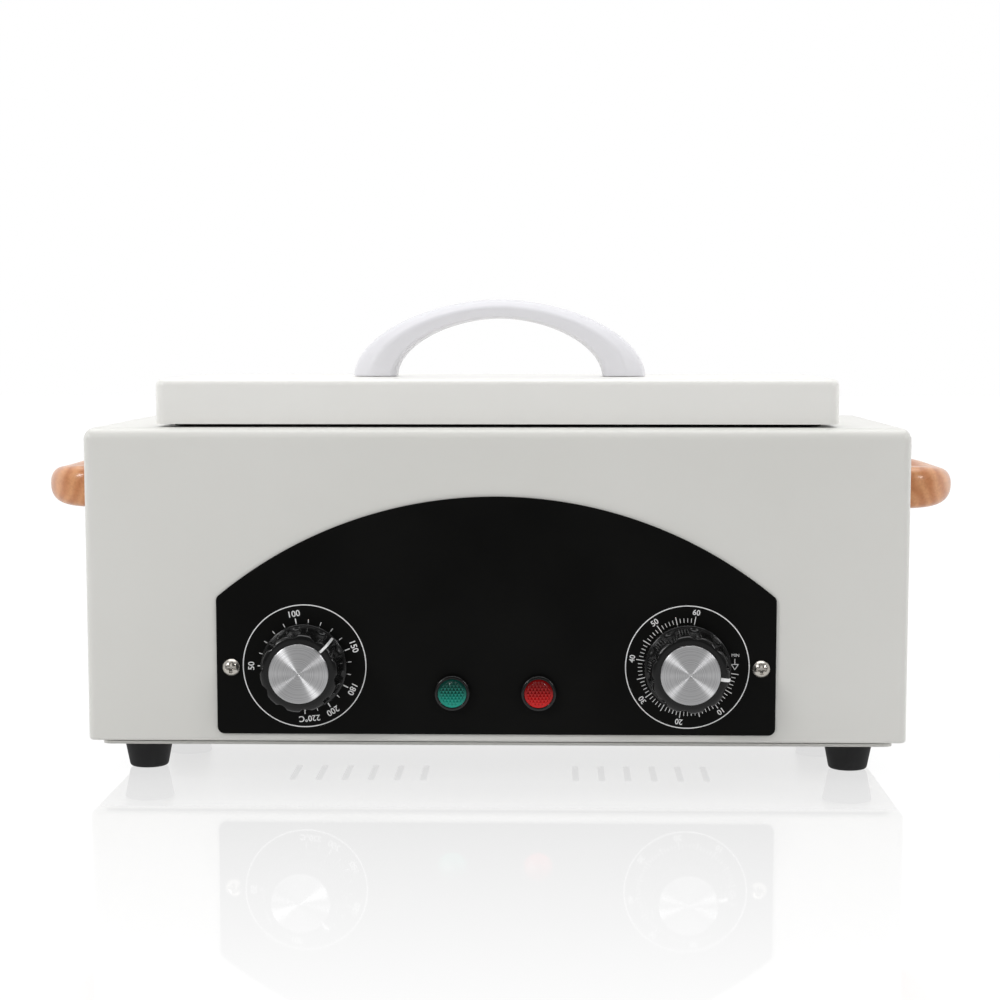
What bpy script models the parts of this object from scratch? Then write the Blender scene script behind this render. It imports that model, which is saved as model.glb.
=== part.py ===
"""Bench-top dry heat sterilizer, modelled as the assembly that comes apart on a bench.

A painted sheet-steel housing on four rubber feet carries a stainless chamber with its heater and
insulation. A hinged lid with a plastic arch handle closes it on a black gasket. The arched black
panel on the front holds a thermostat knob, a timer knob and two pilot lamps.

Metres, +Z up. The front faces -Y. The origin lies on the floor, below the centre of the whole
object's box, knobs and side handles included.
"""

import math

import bmesh
import bpy
from mathutils import Matrix, Vector

# Clearance that seated pieces keep, and the length by which a cutter overruns what it cuts
GAP = 0.0003
OVERRUN = 0.002

# Housing: one bent and welded sheet-steel shell with an inward lip at its open bottom
BODY_WIDTH = 0.350
BODY_DEPTH = 0.160
BODY_HEIGHT = 0.134
BODY_SHEET = 0.0010
BODY_CORNER = 0.0060
BODY_TOP_ROUND = 0.0050
LIP_WIDTH = 0.0150
LIP_CORNER = 0.0020

# Vent slots in the back wall
VENT_WIDTH = 0.0030
VENT_LENGTH = 0.0260
VENT_PITCH = 0.0090
VENT_COUNT = 6
VENT_INSET = 0.0900
VENT_HEIGHT = 0.0620

# Bottom plate, held under the lip on four raised pads
PLATE_SHEET = 0.0012
PLATE_INSET = 0.0050
PLATE_CORNER = 0.0040
PAD_RISE = 0.0008
PAD_RADIUS = 0.0055
PLATE_SCREW_INSET_X = 0.0110
PLATE_SCREW_REACH_Y = 0.0300
PLATE_SLOT_LENGTH = 0.0360
PLATE_SLOT_PITCH = 0.0120
PLATE_SLOT_COUNT = 6
PLATE_SLOT_INSET = 0.1100

# Rubber feet
FOOT_HEIGHT = 0.0129
FOOT_TOP_RADIUS = 0.01075
FOOT_BOTTOM_RADIUS = 0.00825
FOOT_EDGE = 0.0010
FOOT_INSET_X = 0.0215
FOOT_INSET_Y = 0.0260
FOOT_RECESS_RADIUS = 0.0046
FOOT_RECESS_DEPTH = 0.0062

# Pan-head screws, all one size
SCREW_RADIUS = 0.0020
SCREW_HEAD_RADIUS = 0.0037
SCREW_HEAD_HEIGHT = 0.0023
SCREW_LENGTH = 0.0090
SCREW_HOLE_RADIUS = SCREW_RADIUS + GAP
RECESS_SPAN = 0.0040
RECESS_WIDTH = 0.0009
RECESS_DEPTH = 0.0012

# Control panel: a printed plate with an arched top
PANEL_WIDTH = 0.238
PANEL_HEIGHT = 0.1018
PANEL_SHOULDER = 0.0586
PANEL_SHEET = 0.0010
PANEL_CORNER = 0.0030
PANEL_LIFT = 0.0034
PANEL_SCREW_INSET = 0.0063
PANEL_SCREW_Z = 0.0287

# Knobs on the two control shafts
KNOB_INSET = 0.0376
KNOB_Z = 0.0294
KNOB_LIFT = 0.0020
KNOB_HEIGHT = 0.0202
KNOB_SKIRT_RADIUS = 0.0184
KNOB_SKIRT_HEIGHT = 0.0022
KNOB_WAIST_RADIUS = 0.0174
KNOB_TOP_RADIUS = 0.0164
KNOB_EDGE = 0.0008
KNOB_SHOULDER = 0.0022
KNOB_FLUTES = 10
KNOB_FLUTE_RADIUS = 0.0034
KNOB_FLUTE_DEPTH = 0.0013
KNOB_BORE_DEPTH = 0.0130
POINTER_WIDTH = 0.0011
POINTER_RISE = 0.0003
CAP_RADIUS = 0.0124
CAP_THICKNESS = 0.0012
CAP_EDGE = 0.0004
TEMPERATURE_POINTER_DEG = 45.0
TIMER_POINTER_DEG = -8.0

# Control shafts with a drive flat
SHAFT_RADIUS = 0.0030
SHAFT_FLAT_CUT = 0.0015
SHAFT_HOLE_RADIUS = 0.0050

# Thermostat block and clockwork timer behind the front wall
BUSH_RADIUS = 0.0080
BUSH_LENGTH = 0.0060
THERMOSTAT_WIDTH = 0.0400
THERMOSTAT_HEIGHT = 0.0360
THERMOSTAT_DEPTH = 0.0260
TIMER_RADIUS = 0.0225
TIMER_DEPTH = 0.0240
TIMER_BELL_RADIUS = 0.0180
TIMER_BELL_DEPTH = 0.0080
CONTROL_BORE_DEPTH = 0.0150
CONTROL_BEVEL = 0.0015

# Pilot lamps
LAMP_X = 0.0184
LAMP_Z = 0.0182
LAMP_FLANGE_RADIUS = 0.0076
LAMP_FLANGE_HEIGHT = 0.0028
LAMP_EDGE = 0.0008
LAMP_BARREL_RADIUS = 0.0064
LAMP_BARREL_LENGTH = 0.0160
LAMP_WALL = 0.0009
LAMP_RIM_WALL = 0.0014
LAMP_RIM_DEPTH = 0.0020
LENS_STEM_LENGTH = 0.0100
LENS_DOME = 0.0006
NUT_RADIUS = 0.0095
NUT_THICKNESS = 0.0030

# Chamber: a pressed stainless tank whose flange lies on the housing's top
TANK_SHEET = 0.0008
TANK_HEIGHT = 0.057
TANK_CORNER = 0.0100
TANK_FLOOR_ROUND = 0.0040
TANK_FLANGE_X = 0.0110
TANK_FLANGE_Y = 0.0050
TANK_GASKET_SPACE = 0.0020
TANK_ENTRY_ROUND = 0.0010
TANK_HOLE_MARGIN = 0.0010

# Insulation jacket, tubular heater and sensor under the chamber
JACKET_THICKNESS = 0.0080
HEATER_RADIUS = 0.0034
HEATER_LEG_Y = 0.0240
HEATER_TURN_INSET = 0.0480
HEATER_END_REACH = 0.0120
BULB_RADIUS = 0.0025
BULB_LENGTH = 0.0600
CAPILLARY_RADIUS = 0.0009
CAPILLARY_REACH = 0.0150

# Instrument tray standing in the chamber
TRAY_CLEARANCE = 0.0040
TRAY_HEIGHT = 0.0300
TRAY_SHEET = 0.0008
TRAY_RIM = 0.0020
TRAY_CORNER = 0.0080
TRAY_FLOOR_ROUND = 0.0025
TRAY_SLOT_WIDTH = 0.0040
TRAY_SLOT_LENGTH = 0.0280
TRAY_SLOT_PITCH = 0.0190
TRAY_SLOT_COLUMNS = 11
TRAY_SLOT_ROW_Y = 0.0180
GRIP_WIRE_RADIUS = 0.0013
GRIP_WIDTH = 0.0500
GRIP_RISE = 0.0160
GRIP_DROP = 0.0120
GRIP_BEND = 0.0060

# Lid: a painted pan, its stainless liner, an insulation board and a gasket
LID_END_MARGIN = 0.0295
LID_SETBACK = 0.0080
LID_BACK_MARGIN = 0.0220
LID_LIFT = 0.0013
LID_HEIGHT = 0.0192
LID_SHEET = 0.0010
LID_CORNER = 0.0045
LID_ROUND = 0.0030
LINER_SHEET = 0.0008
LINER_RIM = 0.0070
LINER_ROUND = 0.0015
LINER_RISE = 0.0030
GASKET_INSET_X = 0.0065
GASKET_INSET_Y = 0.0060
GASKET_WIDTH = 0.0060
GASKET_CORNER = 0.0060
LID_BOARD_MARGIN = 0.0020
LID_BOARD_THICKNESS = 0.0115

# Lid handle: a moulded arch, thick at its feet and thin at its crown
ARCH_OUTER_X = 0.0657
ARCH_INNER_X = 0.0463
ARCH_OUTER_RISE = 0.0342
ARCH_INNER_RISE = 0.0256
ARCH_POWER = 1.85
ARCH_OVAL = 2.4
ARCH_FOOT_DEPTH = 0.0260
ARCH_CROWN_DEPTH = 0.0190
ARCH_SCREW_DEPTH = 0.0080

# Side handles: wooden bows on both end walls, tall at their feet and a round bar at their middle
BOW_LENGTH = 0.1040
BOW_REACH = 0.0285
BOW_INNER_LENGTH = 0.0700
BOW_INNER_REACH = 0.0160
BOW_HEIGHT = 0.0200
BOW_POWER = 2.6
BOW_OVAL = 2.1
BOW_Z = 0.1070
BOW_SCREW_DEPTH = 0.0110

# Hinges between the housing's top and the lid's back
HINGE_INSET = 0.0555
HINGE_LENGTH = 0.0400
HINGE_SHEET = 0.0012
HINGE_BARREL_RADIUS = 0.0025
HINGE_PIN_RADIUS = 0.0013
HINGE_PIN_HEAD = 0.0008
HINGE_LEAF = 0.0135
HINGE_UPPER_LEAF = 0.0130

# Cord entry bush in the back wall, and the terminal block behind it
GROMMET_INSET = 0.0450
GROMMET_Z = 0.0220
GROMMET_FLANGE_RADIUS = 0.0080
GROMMET_FLANGE = 0.0020
GROMMET_NECK_RADIUS = 0.0057
GROMMET_BORE_RADIUS = 0.0036
GROMMET_EDGE = 0.0007
BLOCK_WIDTH = 0.0380
BLOCK_DEPTH = 0.0180
BLOCK_HEIGHT = 0.0140
BLOCK_POLES = 3
BLOCK_WELL_RADIUS = 0.0026
BLOCK_BEVEL = 0.0010
BLOCK_BACK_SPACE = 0.0200

# Facets of round and rounded forms
CORNER_STEPS = 3
FINE_STEPS = 24
PLAIN_STEPS = 16
HOLE_STEPS = 8
FLUTE_STEPS = 11
ARCH_STEPS = 20
SECTION_STEPS = 12
KNOB_STEPS = 30
WELD = 0.00001

# Levels, planes and sizes that several pieces share
LID_WIDTH = BODY_WIDTH - 2 * LID_END_MARGIN
LID_DEPTH = BODY_DEPTH - LID_SETBACK - LID_BACK_MARGIN
TANK_WIDTH = LID_WIDTH - 2 * (GASKET_INSET_X + GASKET_WIDTH + TANK_GASKET_SPACE + TANK_FLANGE_X)
TANK_DEPTH = LID_DEPTH - 2 * (GASKET_INSET_Y + GASKET_WIDTH + TANK_GASKET_SPACE + TANK_FLANGE_Y)
HEATER_TURN_X = TANK_WIDTH / 2 - HEATER_TURN_INSET
HINGE_X = LID_WIDTH / 2 - HINGE_INSET
VENT_GROUP_X = BODY_WIDTH / 2 - VENT_INSET
PLATE_SLOT_GROUP_X = BODY_WIDTH / 2 - PLATE_SLOT_INSET
KNOB_X = PANEL_WIDTH / 2 - KNOB_INSET
PANEL_SCREW_X = PANEL_WIDTH / 2 - PANEL_SCREW_INSET
GROMMET_X = BODY_WIDTH / 2 - GROMMET_INSET
PLATE_BOTTOM_Z = FOOT_HEIGHT + GAP
PLATE_TOP_Z = PLATE_BOTTOM_Z + PLATE_SHEET
BODY_BOTTOM_Z = PLATE_TOP_Z + PAD_RISE + GAP
BODY_TOP_Z = BODY_BOTTOM_Z + BODY_HEIGHT
PANEL_REACH = GAP + PANEL_SHEET
KNOB_FACE_REACH = PANEL_REACH + KNOB_LIFT + KNOB_HEIGHT + GAP + CAP_THICKNESS
REAR_REACH = GAP + GROMMET_FLANGE
FRONT_Y = -(KNOB_FACE_REACH + BODY_DEPTH + REAR_REACH) / 2 + KNOB_FACE_REACH
BODY_Y = FRONT_Y + BODY_DEPTH / 2
BACK_Y = FRONT_Y + BODY_DEPTH
PANEL_BOTTOM_Z = BODY_BOTTOM_Z + PANEL_LIFT
KNOB_CENTRE_Z = PANEL_BOTTOM_Z + KNOB_Z
LID_Y = FRONT_Y + LID_SETBACK + LID_DEPTH / 2
LID_BACK_Y = LID_Y + LID_DEPTH / 2
LID_BOTTOM_Z = BODY_TOP_Z + LID_LIFT
LID_TOP_Z = LID_BOTTOM_Z + LID_HEIGHT
LINER_Z = BODY_TOP_Z + LINER_RISE
TANK_TOP_Z = BODY_TOP_Z + GAP + TANK_SHEET
TANK_FLOOR_Z = TANK_TOP_Z - TANK_HEIGHT
TANK_UNDER_Z = TANK_FLOOR_Z - TANK_SHEET
HINGE_Y = LID_BACK_Y + GAP + HINGE_BARREL_RADIUS
HINGE_Z = BODY_TOP_Z + GAP + HINGE_BARREL_RADIUS

# Finishes: colour, roughness, metallic value
FINISHES = {
    "white_paint": ((0.80, 0.80, 0.76), 0.35, 0.0),
    "white_plastic": ((0.84, 0.84, 0.88), 0.30, 0.0),
    "black_plate": ((0.012, 0.012, 0.012), 0.45, 0.0),
    "black_plastic": ((0.015, 0.015, 0.015), 0.30, 0.0),
    "black_rubber": ((0.020, 0.020, 0.020), 0.75, 0.0),
    "spun_aluminium": ((0.78, 0.78, 0.80), 0.28, 1.0),
    "stainless": ((0.62, 0.61, 0.59), 0.30, 1.0),
    "nickel": ((0.66, 0.63, 0.58), 0.25, 1.0),
    "green_lens": ((0.00, 0.30, 0.20), 0.15, 0.0),
    "red_lens": ((0.60, 0.01, 0.01), 0.15, 0.0),
    "varnished_wood": ((0.56, 0.27, 0.12), 0.30, 0.0),
    "glass_wool": ((0.74, 0.68, 0.48), 0.95, 0.0),
    "brown_phenolic": ((0.16, 0.07, 0.03), 0.45, 0.0),
    "copper": ((0.72, 0.36, 0.20), 0.35, 1.0),
}

PARTS = None
CUTTERS = None


def clear_scene():
    """Empties the scene, then makes the collection of parts and the collection of cutters."""
    global PARTS, CUTTERS
    for obj in list(bpy.data.objects):
        bpy.data.objects.remove(obj, do_unlink=True)
    PARTS = bpy.data.collections.new("dry_heat_sterilizer")
    CUTTERS = bpy.data.collections.new("cutters")
    for collection in (PARTS, CUTTERS):
        bpy.context.scene.collection.children.link(collection)


def finish_material(name):
    """The named finish as a Principled material, made on first use."""
    found = bpy.data.materials.get(name)
    if found:
        return found
    colour, roughness, metallic = FINISHES[name]
    made = bpy.data.materials.new(name)
    made.use_nodes = True
    shader = made.node_tree.nodes["Principled BSDF"]
    shader.inputs["Base Color"].default_value = (*colour, 1.0)
    shader.inputs["Roughness"].default_value = roughness
    shader.inputs["Metallic"].default_value = metallic
    made.diffuse_color = (*colour, 1.0)
    return made


def add_part(name, data, finish, at=(0.0, 0.0, 0.0), turn=(0.0, 0.0, 0.0), parent=None):
    """Puts a mesh or curve in the scene as one sub-part. The place is a world place, also under a parent."""
    obj = bpy.data.objects.new(name, data)
    PARTS.objects.link(obj)
    data.materials.append(finish_material(finish))
    origin = parent.location if parent else Vector()
    obj.parent = parent
    obj.location = Vector(at) - origin
    obj.rotation_euler = turn
    if isinstance(data, bpy.types.Mesh):
        smooth(data)
    return obj


def add_axis(name, at):
    """An empty on a joint's axis, which carries the pieces that move about it."""
    empty = bpy.data.objects.new(name, None)
    PARTS.objects.link(empty)
    empty.location = at
    empty.empty_display_size = GROMMET_FLANGE_RADIUS
    return empty


def smooth(mesh, angle=math.radians(35)):
    """Smooth shading with edges sharper than the angle kept crisp."""
    if mesh.polygons:
        mesh.shade_smooth()
        mesh.set_sharp_from_angle(angle=angle)


def mesh_from(builder, name):
    """Runs the builder on an empty bmesh and returns the mesh."""
    bm = bmesh.new()
    builder(bm)
    mesh = bpy.data.meshes.new(name)
    bm.to_mesh(mesh)
    bm.free()
    return mesh


def add_cutter(name, mesh, at=(0.0, 0.0, 0.0), turn=(0.0, 0.0, 0.0)):
    """A helper solid that never renders."""
    obj = bpy.data.objects.new(name, mesh)
    CUTTERS.objects.link(obj)
    obj.location = at
    obj.rotation_euler = turn
    obj.hide_render = True
    obj.display_type = "WIRE"
    return obj


def boolean(obj, other, operation="DIFFERENCE"):
    """A Boolean with the exact solver, kept on the object as a modifier."""
    modifier = obj.modifiers.new(f"{operation.lower()}_{other.name}", "BOOLEAN")
    modifier.operation = operation
    modifier.solver = "EXACT"
    modifier.object = other
    return modifier


def rounded_rectangle(half_x, half_y, radius, steps=CORNER_STEPS):
    """Points of a rectangle with round corners, counterclockwise from the +X side."""
    points = []
    for quarter, (sx, sy) in enumerate(((1, 1), (-1, 1), (-1, -1), (1, -1))):
        centre = Vector((sx * (half_x - radius), sy * (half_y - radius)))
        for step in range(steps + 1):
            angle = math.radians(90) * (quarter + step / steps)
            points.append(centre + radius * Vector((math.cos(angle), math.sin(angle))))
    return points


def circle(radius, steps=PLAIN_STEPS, centre=(0.0, 0.0)):
    """Points of a circle, counterclockwise."""
    turns = (2 * math.pi * step / steps for step in range(steps))
    return [Vector(centre) + radius * Vector((math.cos(a), math.sin(a))) for a in turns]


def slot(length, width, centre, upright=False, steps=2):
    """Points of a slot with round ends, along X, or along Y where it is upright."""
    reach = length / 2 - width / 2
    points = []
    for end in (1, -1):
        for step in range(steps + 1):
            angle = math.radians(-90 + 180 * step / steps) + (math.pi if end < 0 else 0.0)
            point = Vector((end * reach + width / 2 * math.cos(angle), width / 2 * math.sin(angle)))
            points.append(Vector(centre) + (Vector((-point.y, point.x)) if upright else point))
    return points


def loft(rings, cap_first=False, cap_last=True):
    """A skin through rings of as many points each. Rings counterclockwise from above that climb face outwards."""

    def build(bm):
        rows = [[bm.verts.new(point) for point in ring] for ring in rings]
        for lower, upper in zip(rows, rows[1:]):
            for i in range(len(lower)):
                j = (i + 1) % len(lower)
                bm.faces.new((lower[i], lower[j], upper[j], upper[i]))
        if cap_first:
            bm.faces.new(reversed(rows[0]))
        if cap_last:
            bm.faces.new(rows[-1])

    return mesh_from(build, "loft")


def ring_at(points, z):
    """A flat outline lifted to a height."""
    return [Vector((point.x, point.y, z)) for point in points]


def prism(points, bottom, top):
    """A flat outline as a closed solid between two heights."""
    return loft([ring_at(points, bottom), ring_at(points, top)], cap_first=True)


def joined(name, meshes):
    """Several closed meshes in one, which stay separate bodies and serve as one cutter."""

    def build(bm):
        for mesh in meshes:
            bm.from_mesh(mesh)
            bpy.data.meshes.remove(mesh)

    return mesh_from(build, name)


def flat_plate(outlines, thickness):
    """A flat sheet from a 2D curve. The first outline is the edge, and the others are holes in it."""
    curve = bpy.data.curves.new("outline", "CURVE")
    curve.dimensions = "2D"
    curve.fill_mode = "BOTH"
    curve.extrude = thickness / 2
    for outline in outlines:
        spline = curve.splines.new("POLY")
        spline.points.add(len(outline) - 1)
        for point, place in zip(spline.points, outline):
            point.co = (place.x, place.y, 0.0, 1.0)
        spline.use_cyclic_u = True
    return mesh_of_curve(curve)


def mesh_of_curve(curve):
    """The curve's solid as a mesh whose caps are welded on."""
    guide = bpy.data.objects.new("guide", curve)
    CUTTERS.objects.link(guide)
    bpy.context.view_layer.update()
    graph = bpy.context.evaluated_depsgraph_get()
    mesh = bpy.data.meshes.new_from_object(guide.evaluated_get(graph))
    bpy.data.objects.remove(guide, do_unlink=True)
    bm = bmesh.new()
    bm.from_mesh(mesh)
    bmesh.ops.remove_doubles(bm, verts=bm.verts, dist=WELD)
    bmesh.ops.recalc_face_normals(bm, faces=bm.faces)
    bm.to_mesh(mesh)
    bm.free()
    return mesh


def wire(path, radius, cyclic=False, sides=2):
    """A round bar along a path, as a curve with a bevel and filled caps."""
    curve = bpy.data.curves.new("wire", "CURVE")
    curve.dimensions = "3D"
    curve.bevel_depth = radius
    curve.bevel_resolution = sides
    curve.use_fill_caps = True
    spline = curve.splines.new("POLY")
    spline.points.add(len(path) - 1)
    for point, place in zip(spline.points, path):
        point.co = (*place, 1.0)
    spline.use_cyclic_u = cyclic
    return curve


def rounded_path(corners, radius, steps=CORNER_STEPS):
    """Straight runs between corners, joined by tangent arcs of one radius."""
    corners = [Vector(corner) for corner in corners]
    points = [corners[0]]
    for before, here, after in zip(corners, corners[1:], corners[2:]):
        into, out = (here - before).normalized(), (after - here).normalized()
        half = into.angle(out) / 2
        start = here - into * radius * math.tan(half)
        side = (out - into * out.dot(into)).normalized()
        for step in range(steps + 1):
            angle = 2 * half * step / steps
            points.append(start + radius * (into * math.sin(angle) + side * (1 - math.cos(angle))))
    return points + [corners[-1]]


def turned_profile(points):
    """A profile in the XZ plane as bare edges, for the Screw modifier."""

    def build(bm):
        verts = [bm.verts.new((x, 0.0, z)) for x, z in points]
        for a, b in zip(verts, verts[1:]):
            bm.edges.new((a, b))

    return mesh_from(build, "profile")


def spin(obj, steps=PLAIN_STEPS):
    """Turns the object's profile about its local Z axis."""
    screw = obj.modifiers.new("turn", "SCREW")
    screw.axis = "Z"
    screw.angle = 2 * math.pi
    screw.screw_offset = 0.0
    screw.steps = steps
    screw.render_steps = steps
    screw.use_merge_vertices = True
    screw.merge_threshold = WELD
    screw.use_smooth_shade = True
    return screw


def arc_points(centre, radius, first_deg, last_deg, steps=CORNER_STEPS):
    """Points (x, z) of an arc between two angles."""
    angles = (math.radians(first_deg + (last_deg - first_deg) * i / steps) for i in range(steps + 1))
    return [(centre[0] + radius * math.cos(a), centre[1] + radius * math.sin(a)) for a in angles]


def solidify(obj, thickness):
    """Gives an open surface its wall, behind its face."""
    wall = obj.modifiers.new("wall", "SOLIDIFY")
    wall.thickness = thickness
    wall.offset = -1.0
    wall.use_even_offset = True
    return wall


def pan_rings(half_x, half_y, corner, edge_round, bottom, top):
    """Rings of an upside-down pan: its wall, then the quarter round into its flat top."""
    outline = rounded_rectangle(half_x, half_y, corner)
    rings = [ring_at(outline, bottom)]
    for step in range(CORNER_STEPS + 1):
        angle = math.radians(90) * step / CORNER_STEPS
        inset = edge_round * (1 - math.cos(angle))
        height = top - edge_round + edge_round * math.sin(angle)
        rings.append(ring_at(rounded_rectangle(half_x - inset, half_y - inset, corner - inset), height))
    return rings


def basin_rings(half_x, half_y, corner, floor_round, top, floor):
    """Rings of an upright pan from the inside: down its wall, then the quarter round into its floor."""
    rings = [ring_at(rounded_rectangle(half_x, half_y, corner), top)]
    for step in range(CORNER_STEPS + 1):
        angle = math.radians(90) * step / CORNER_STEPS
        inset = floor_round * (1 - math.cos(angle))
        height = floor + floor_round - floor_round * math.sin(angle)
        rings.append(ring_at(rounded_rectangle(half_x - inset, half_y - inset, corner - inset), height))
    return rings


def front_cylinder(radius, x, z, start_y, length, steps=HOLE_STEPS):
    """A closed cylinder along +Y that starts at a plane, for holes through the front and back walls."""
    mesh = prism(circle(radius, steps), 0.0, length)
    mesh.transform(Matrix.Translation((x, start_y, z)) @ Matrix.Rotation(math.radians(-90), 4, "X"))
    return mesh


def upright_cylinder(radius, x, y, bottom, top, steps=HOLE_STEPS):
    """A closed cylinder along Z."""
    mesh = prism(circle(radius, steps), bottom, top)
    mesh.transform(Matrix.Translation((x, y, 0.0)))
    return mesh


def side_cylinder(radius, side, y, z, start_x, length, steps=HOLE_STEPS):
    """A closed cylinder along X that runs towards the given side from a plane."""
    mesh = prism(circle(radius, steps), 0.0, length)
    turn = Matrix.Rotation(math.radians(90) * side, 4, "Y")
    mesh.transform(Matrix.Translation((start_x, y, z)) @ turn)
    return mesh


def bow_feet_y():
    """How far a side handle's two feet lie from its middle."""
    return (BOW_LENGTH + BOW_INNER_LENGTH) / 4


def arch_feet_x():
    """How far the lid handle's two feet lie from its middle."""
    return (ARCH_OUTER_X + ARCH_INNER_X) / 2


def build_housing():
    """The shell: lip, walls and top in one surface, given its wall and then pierced."""
    half_x, half_y = BODY_WIDTH / 2, BODY_DEPTH / 2
    rings = [ring_at(rounded_rectangle(half_x - LIP_WIDTH, half_y - LIP_WIDTH, LIP_CORNER), 0.0)]
    rings += pan_rings(half_x, half_y, BODY_CORNER, BODY_TOP_ROUND, 0.0, BODY_HEIGHT)
    housing = add_part("housing", loft(rings), "white_paint", (0.0, BODY_Y, BODY_BOTTOM_Z))
    solidify(housing, BODY_SHEET)
    boolean(housing, add_cutter("housing_openings", joined("openings", housing_cutters())))


def housing_cutters():
    """Everything that pierces the housing, in world places."""
    through = BODY_SHEET + 2 * OVERRUN
    front = FRONT_Y - OVERRUN
    back = BACK_Y - BODY_SHEET - OVERRUN
    mouth = rounded_rectangle(
        TANK_WIDTH / 2 + TANK_SHEET + TANK_HOLE_MARGIN,
        TANK_DEPTH / 2 + TANK_SHEET + TANK_HOLE_MARGIN,
        TANK_CORNER,
    )
    top_hole = prism(mouth, BODY_TOP_Z - BODY_SHEET - OVERRUN, BODY_TOP_Z + OVERRUN)
    top_hole.transform(Matrix.Translation((0.0, LID_Y, 0.0)))
    meshes = [top_hole]
    for side in (-1, 1):
        meshes.append(front_cylinder(SHAFT_HOLE_RADIUS, side * KNOB_X, KNOB_CENTRE_Z, front, through))
        meshes.append(
            front_cylinder(LAMP_BARREL_RADIUS + GAP, side * LAMP_X, PANEL_BOTTOM_Z + LAMP_Z, front, through, PLAIN_STEPS)
        )
        meshes.append(
            front_cylinder(
                SCREW_HOLE_RADIUS, side * PANEL_SCREW_X, PANEL_BOTTOM_Z + PANEL_SCREW_Z, front, through
            )
        )
        for end in (-1, 1):
            meshes.append(
                side_cylinder(
                    SCREW_HOLE_RADIUS,
                    side,
                    BODY_Y + end * bow_feet_y(),
                    BODY_BOTTOM_Z + BOW_Z,
                    side * (BODY_WIDTH / 2 - BODY_SHEET - OVERRUN),
                    through,
                )
            )
            x, y = plate_screw_place(side, end)
            lip_top = BODY_BOTTOM_Z + BODY_SHEET + OVERRUN
            meshes.append(upright_cylinder(SCREW_HOLE_RADIUS, x, y, BODY_BOTTOM_Z - OVERRUN, lip_top))
        for index in range(VENT_COUNT):
            x = side * VENT_GROUP_X + (index - (VENT_COUNT - 1) / 2) * VENT_PITCH
            vent = prism(slot(VENT_LENGTH, VENT_WIDTH, (0.0, 0.0), upright=True), 0.0, through)
            place = Matrix.Translation((x, back, BODY_BOTTOM_Z + VENT_HEIGHT))
            vent.transform(place @ Matrix.Rotation(math.radians(-90), 4, "X"))
            meshes.append(vent)
    meshes.append(
        front_cylinder(GROMMET_NECK_RADIUS + GAP, GROMMET_X, BODY_BOTTOM_Z + GROMMET_Z, back, through, PLAIN_STEPS)
    )
    return meshes


def plate_screw_place(side, end):
    """Where a screw holds the bottom plate under the housing's lip."""
    return side * (BODY_WIDTH / 2 - PLATE_SCREW_INSET_X), BODY_Y + end * PLATE_SCREW_REACH_Y


def foot_place(side, end):
    """Where a foot stands under the bottom plate."""
    return side * (BODY_WIDTH / 2 - FOOT_INSET_X), BODY_Y + end * (BODY_DEPTH / 2 - FOOT_INSET_Y)


def build_bottom_plate():
    """The flat plate with its cooling slots, screw holes and four raised pads."""
    half_x, half_y = BODY_WIDTH / 2 - PLATE_INSET, BODY_DEPTH / 2 - PLATE_INSET
    outlines = [rounded_rectangle(half_x, half_y, PLATE_CORNER)]
    for side in (-1, 1):
        for end in (-1, 1):
            x, y = foot_place(side, end)
            outlines.append(circle(SCREW_HOLE_RADIUS, HOLE_STEPS, (x, y - BODY_Y)))
        for index in range(PLATE_SLOT_COUNT):
            x = side * PLATE_SLOT_GROUP_X + (index - (PLATE_SLOT_COUNT - 1) / 2) * PLATE_SLOT_PITCH
            outlines.append(slot(PLATE_SLOT_LENGTH, VENT_WIDTH, (x, 0.0), upright=True))
    mesh = flat_plate(outlines, PLATE_SHEET)
    plate = add_part("bottom_plate", mesh, "white_paint", (0.0, BODY_Y, PLATE_BOTTOM_Z + PLATE_SHEET / 2))
    pads, holes = [], []
    for side in (-1, 1):
        for end in (-1, 1):
            x, y = plate_screw_place(side, end)
            pads.append(upright_cylinder(PAD_RADIUS, x, y, PLATE_TOP_Z - PLATE_SHEET / 2, PLATE_TOP_Z + PAD_RISE))
            holes.append(
                upright_cylinder(SCREW_HOLE_RADIUS, x, y, PLATE_BOTTOM_Z - OVERRUN, PLATE_TOP_Z + OVERRUN)
            )
    boolean(plate, add_cutter("plate_pads", joined("pads", pads)), "UNION")
    boolean(plate, add_cutter("plate_screw_holes", joined("holes", holes)))


def build_feet():
    """Four tapered rubber feet, each with a recess for its screw's head."""
    hole = SCREW_HOLE_RADIUS
    outline = [(hole, FOOT_HEIGHT), (FOOT_TOP_RADIUS, FOOT_HEIGHT)]
    edge_centre = (FOOT_BOTTOM_RADIUS - FOOT_EDGE, FOOT_EDGE)
    outline += arc_points(edge_centre, FOOT_EDGE, 0, -90, 2)
    outline += [
        (FOOT_RECESS_RADIUS, 0.0),
        (FOOT_RECESS_RADIUS, FOOT_RECESS_DEPTH),
        (hole, FOOT_RECESS_DEPTH),
        (hole, FOOT_HEIGHT),
    ]
    for side, side_name in ((-1, "left"), (1, "right")):
        for end, end_name in ((-1, "front"), (1, "rear")):
            x, y = foot_place(side, end)
            foot = add_part(f"foot_{end_name}_{side_name}", turned_profile(outline), "black_rubber", (x, y, 0.0))
            spin(foot)
            head_z = FOOT_RECESS_DEPTH - GAP - SCREW_HEAD_HEIGHT
            build_screw(f"foot_screw_{end_name}_{side_name}", (x, y, head_z), (0.0, 0.0, 0.0), FOOT_HEIGHT)


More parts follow.
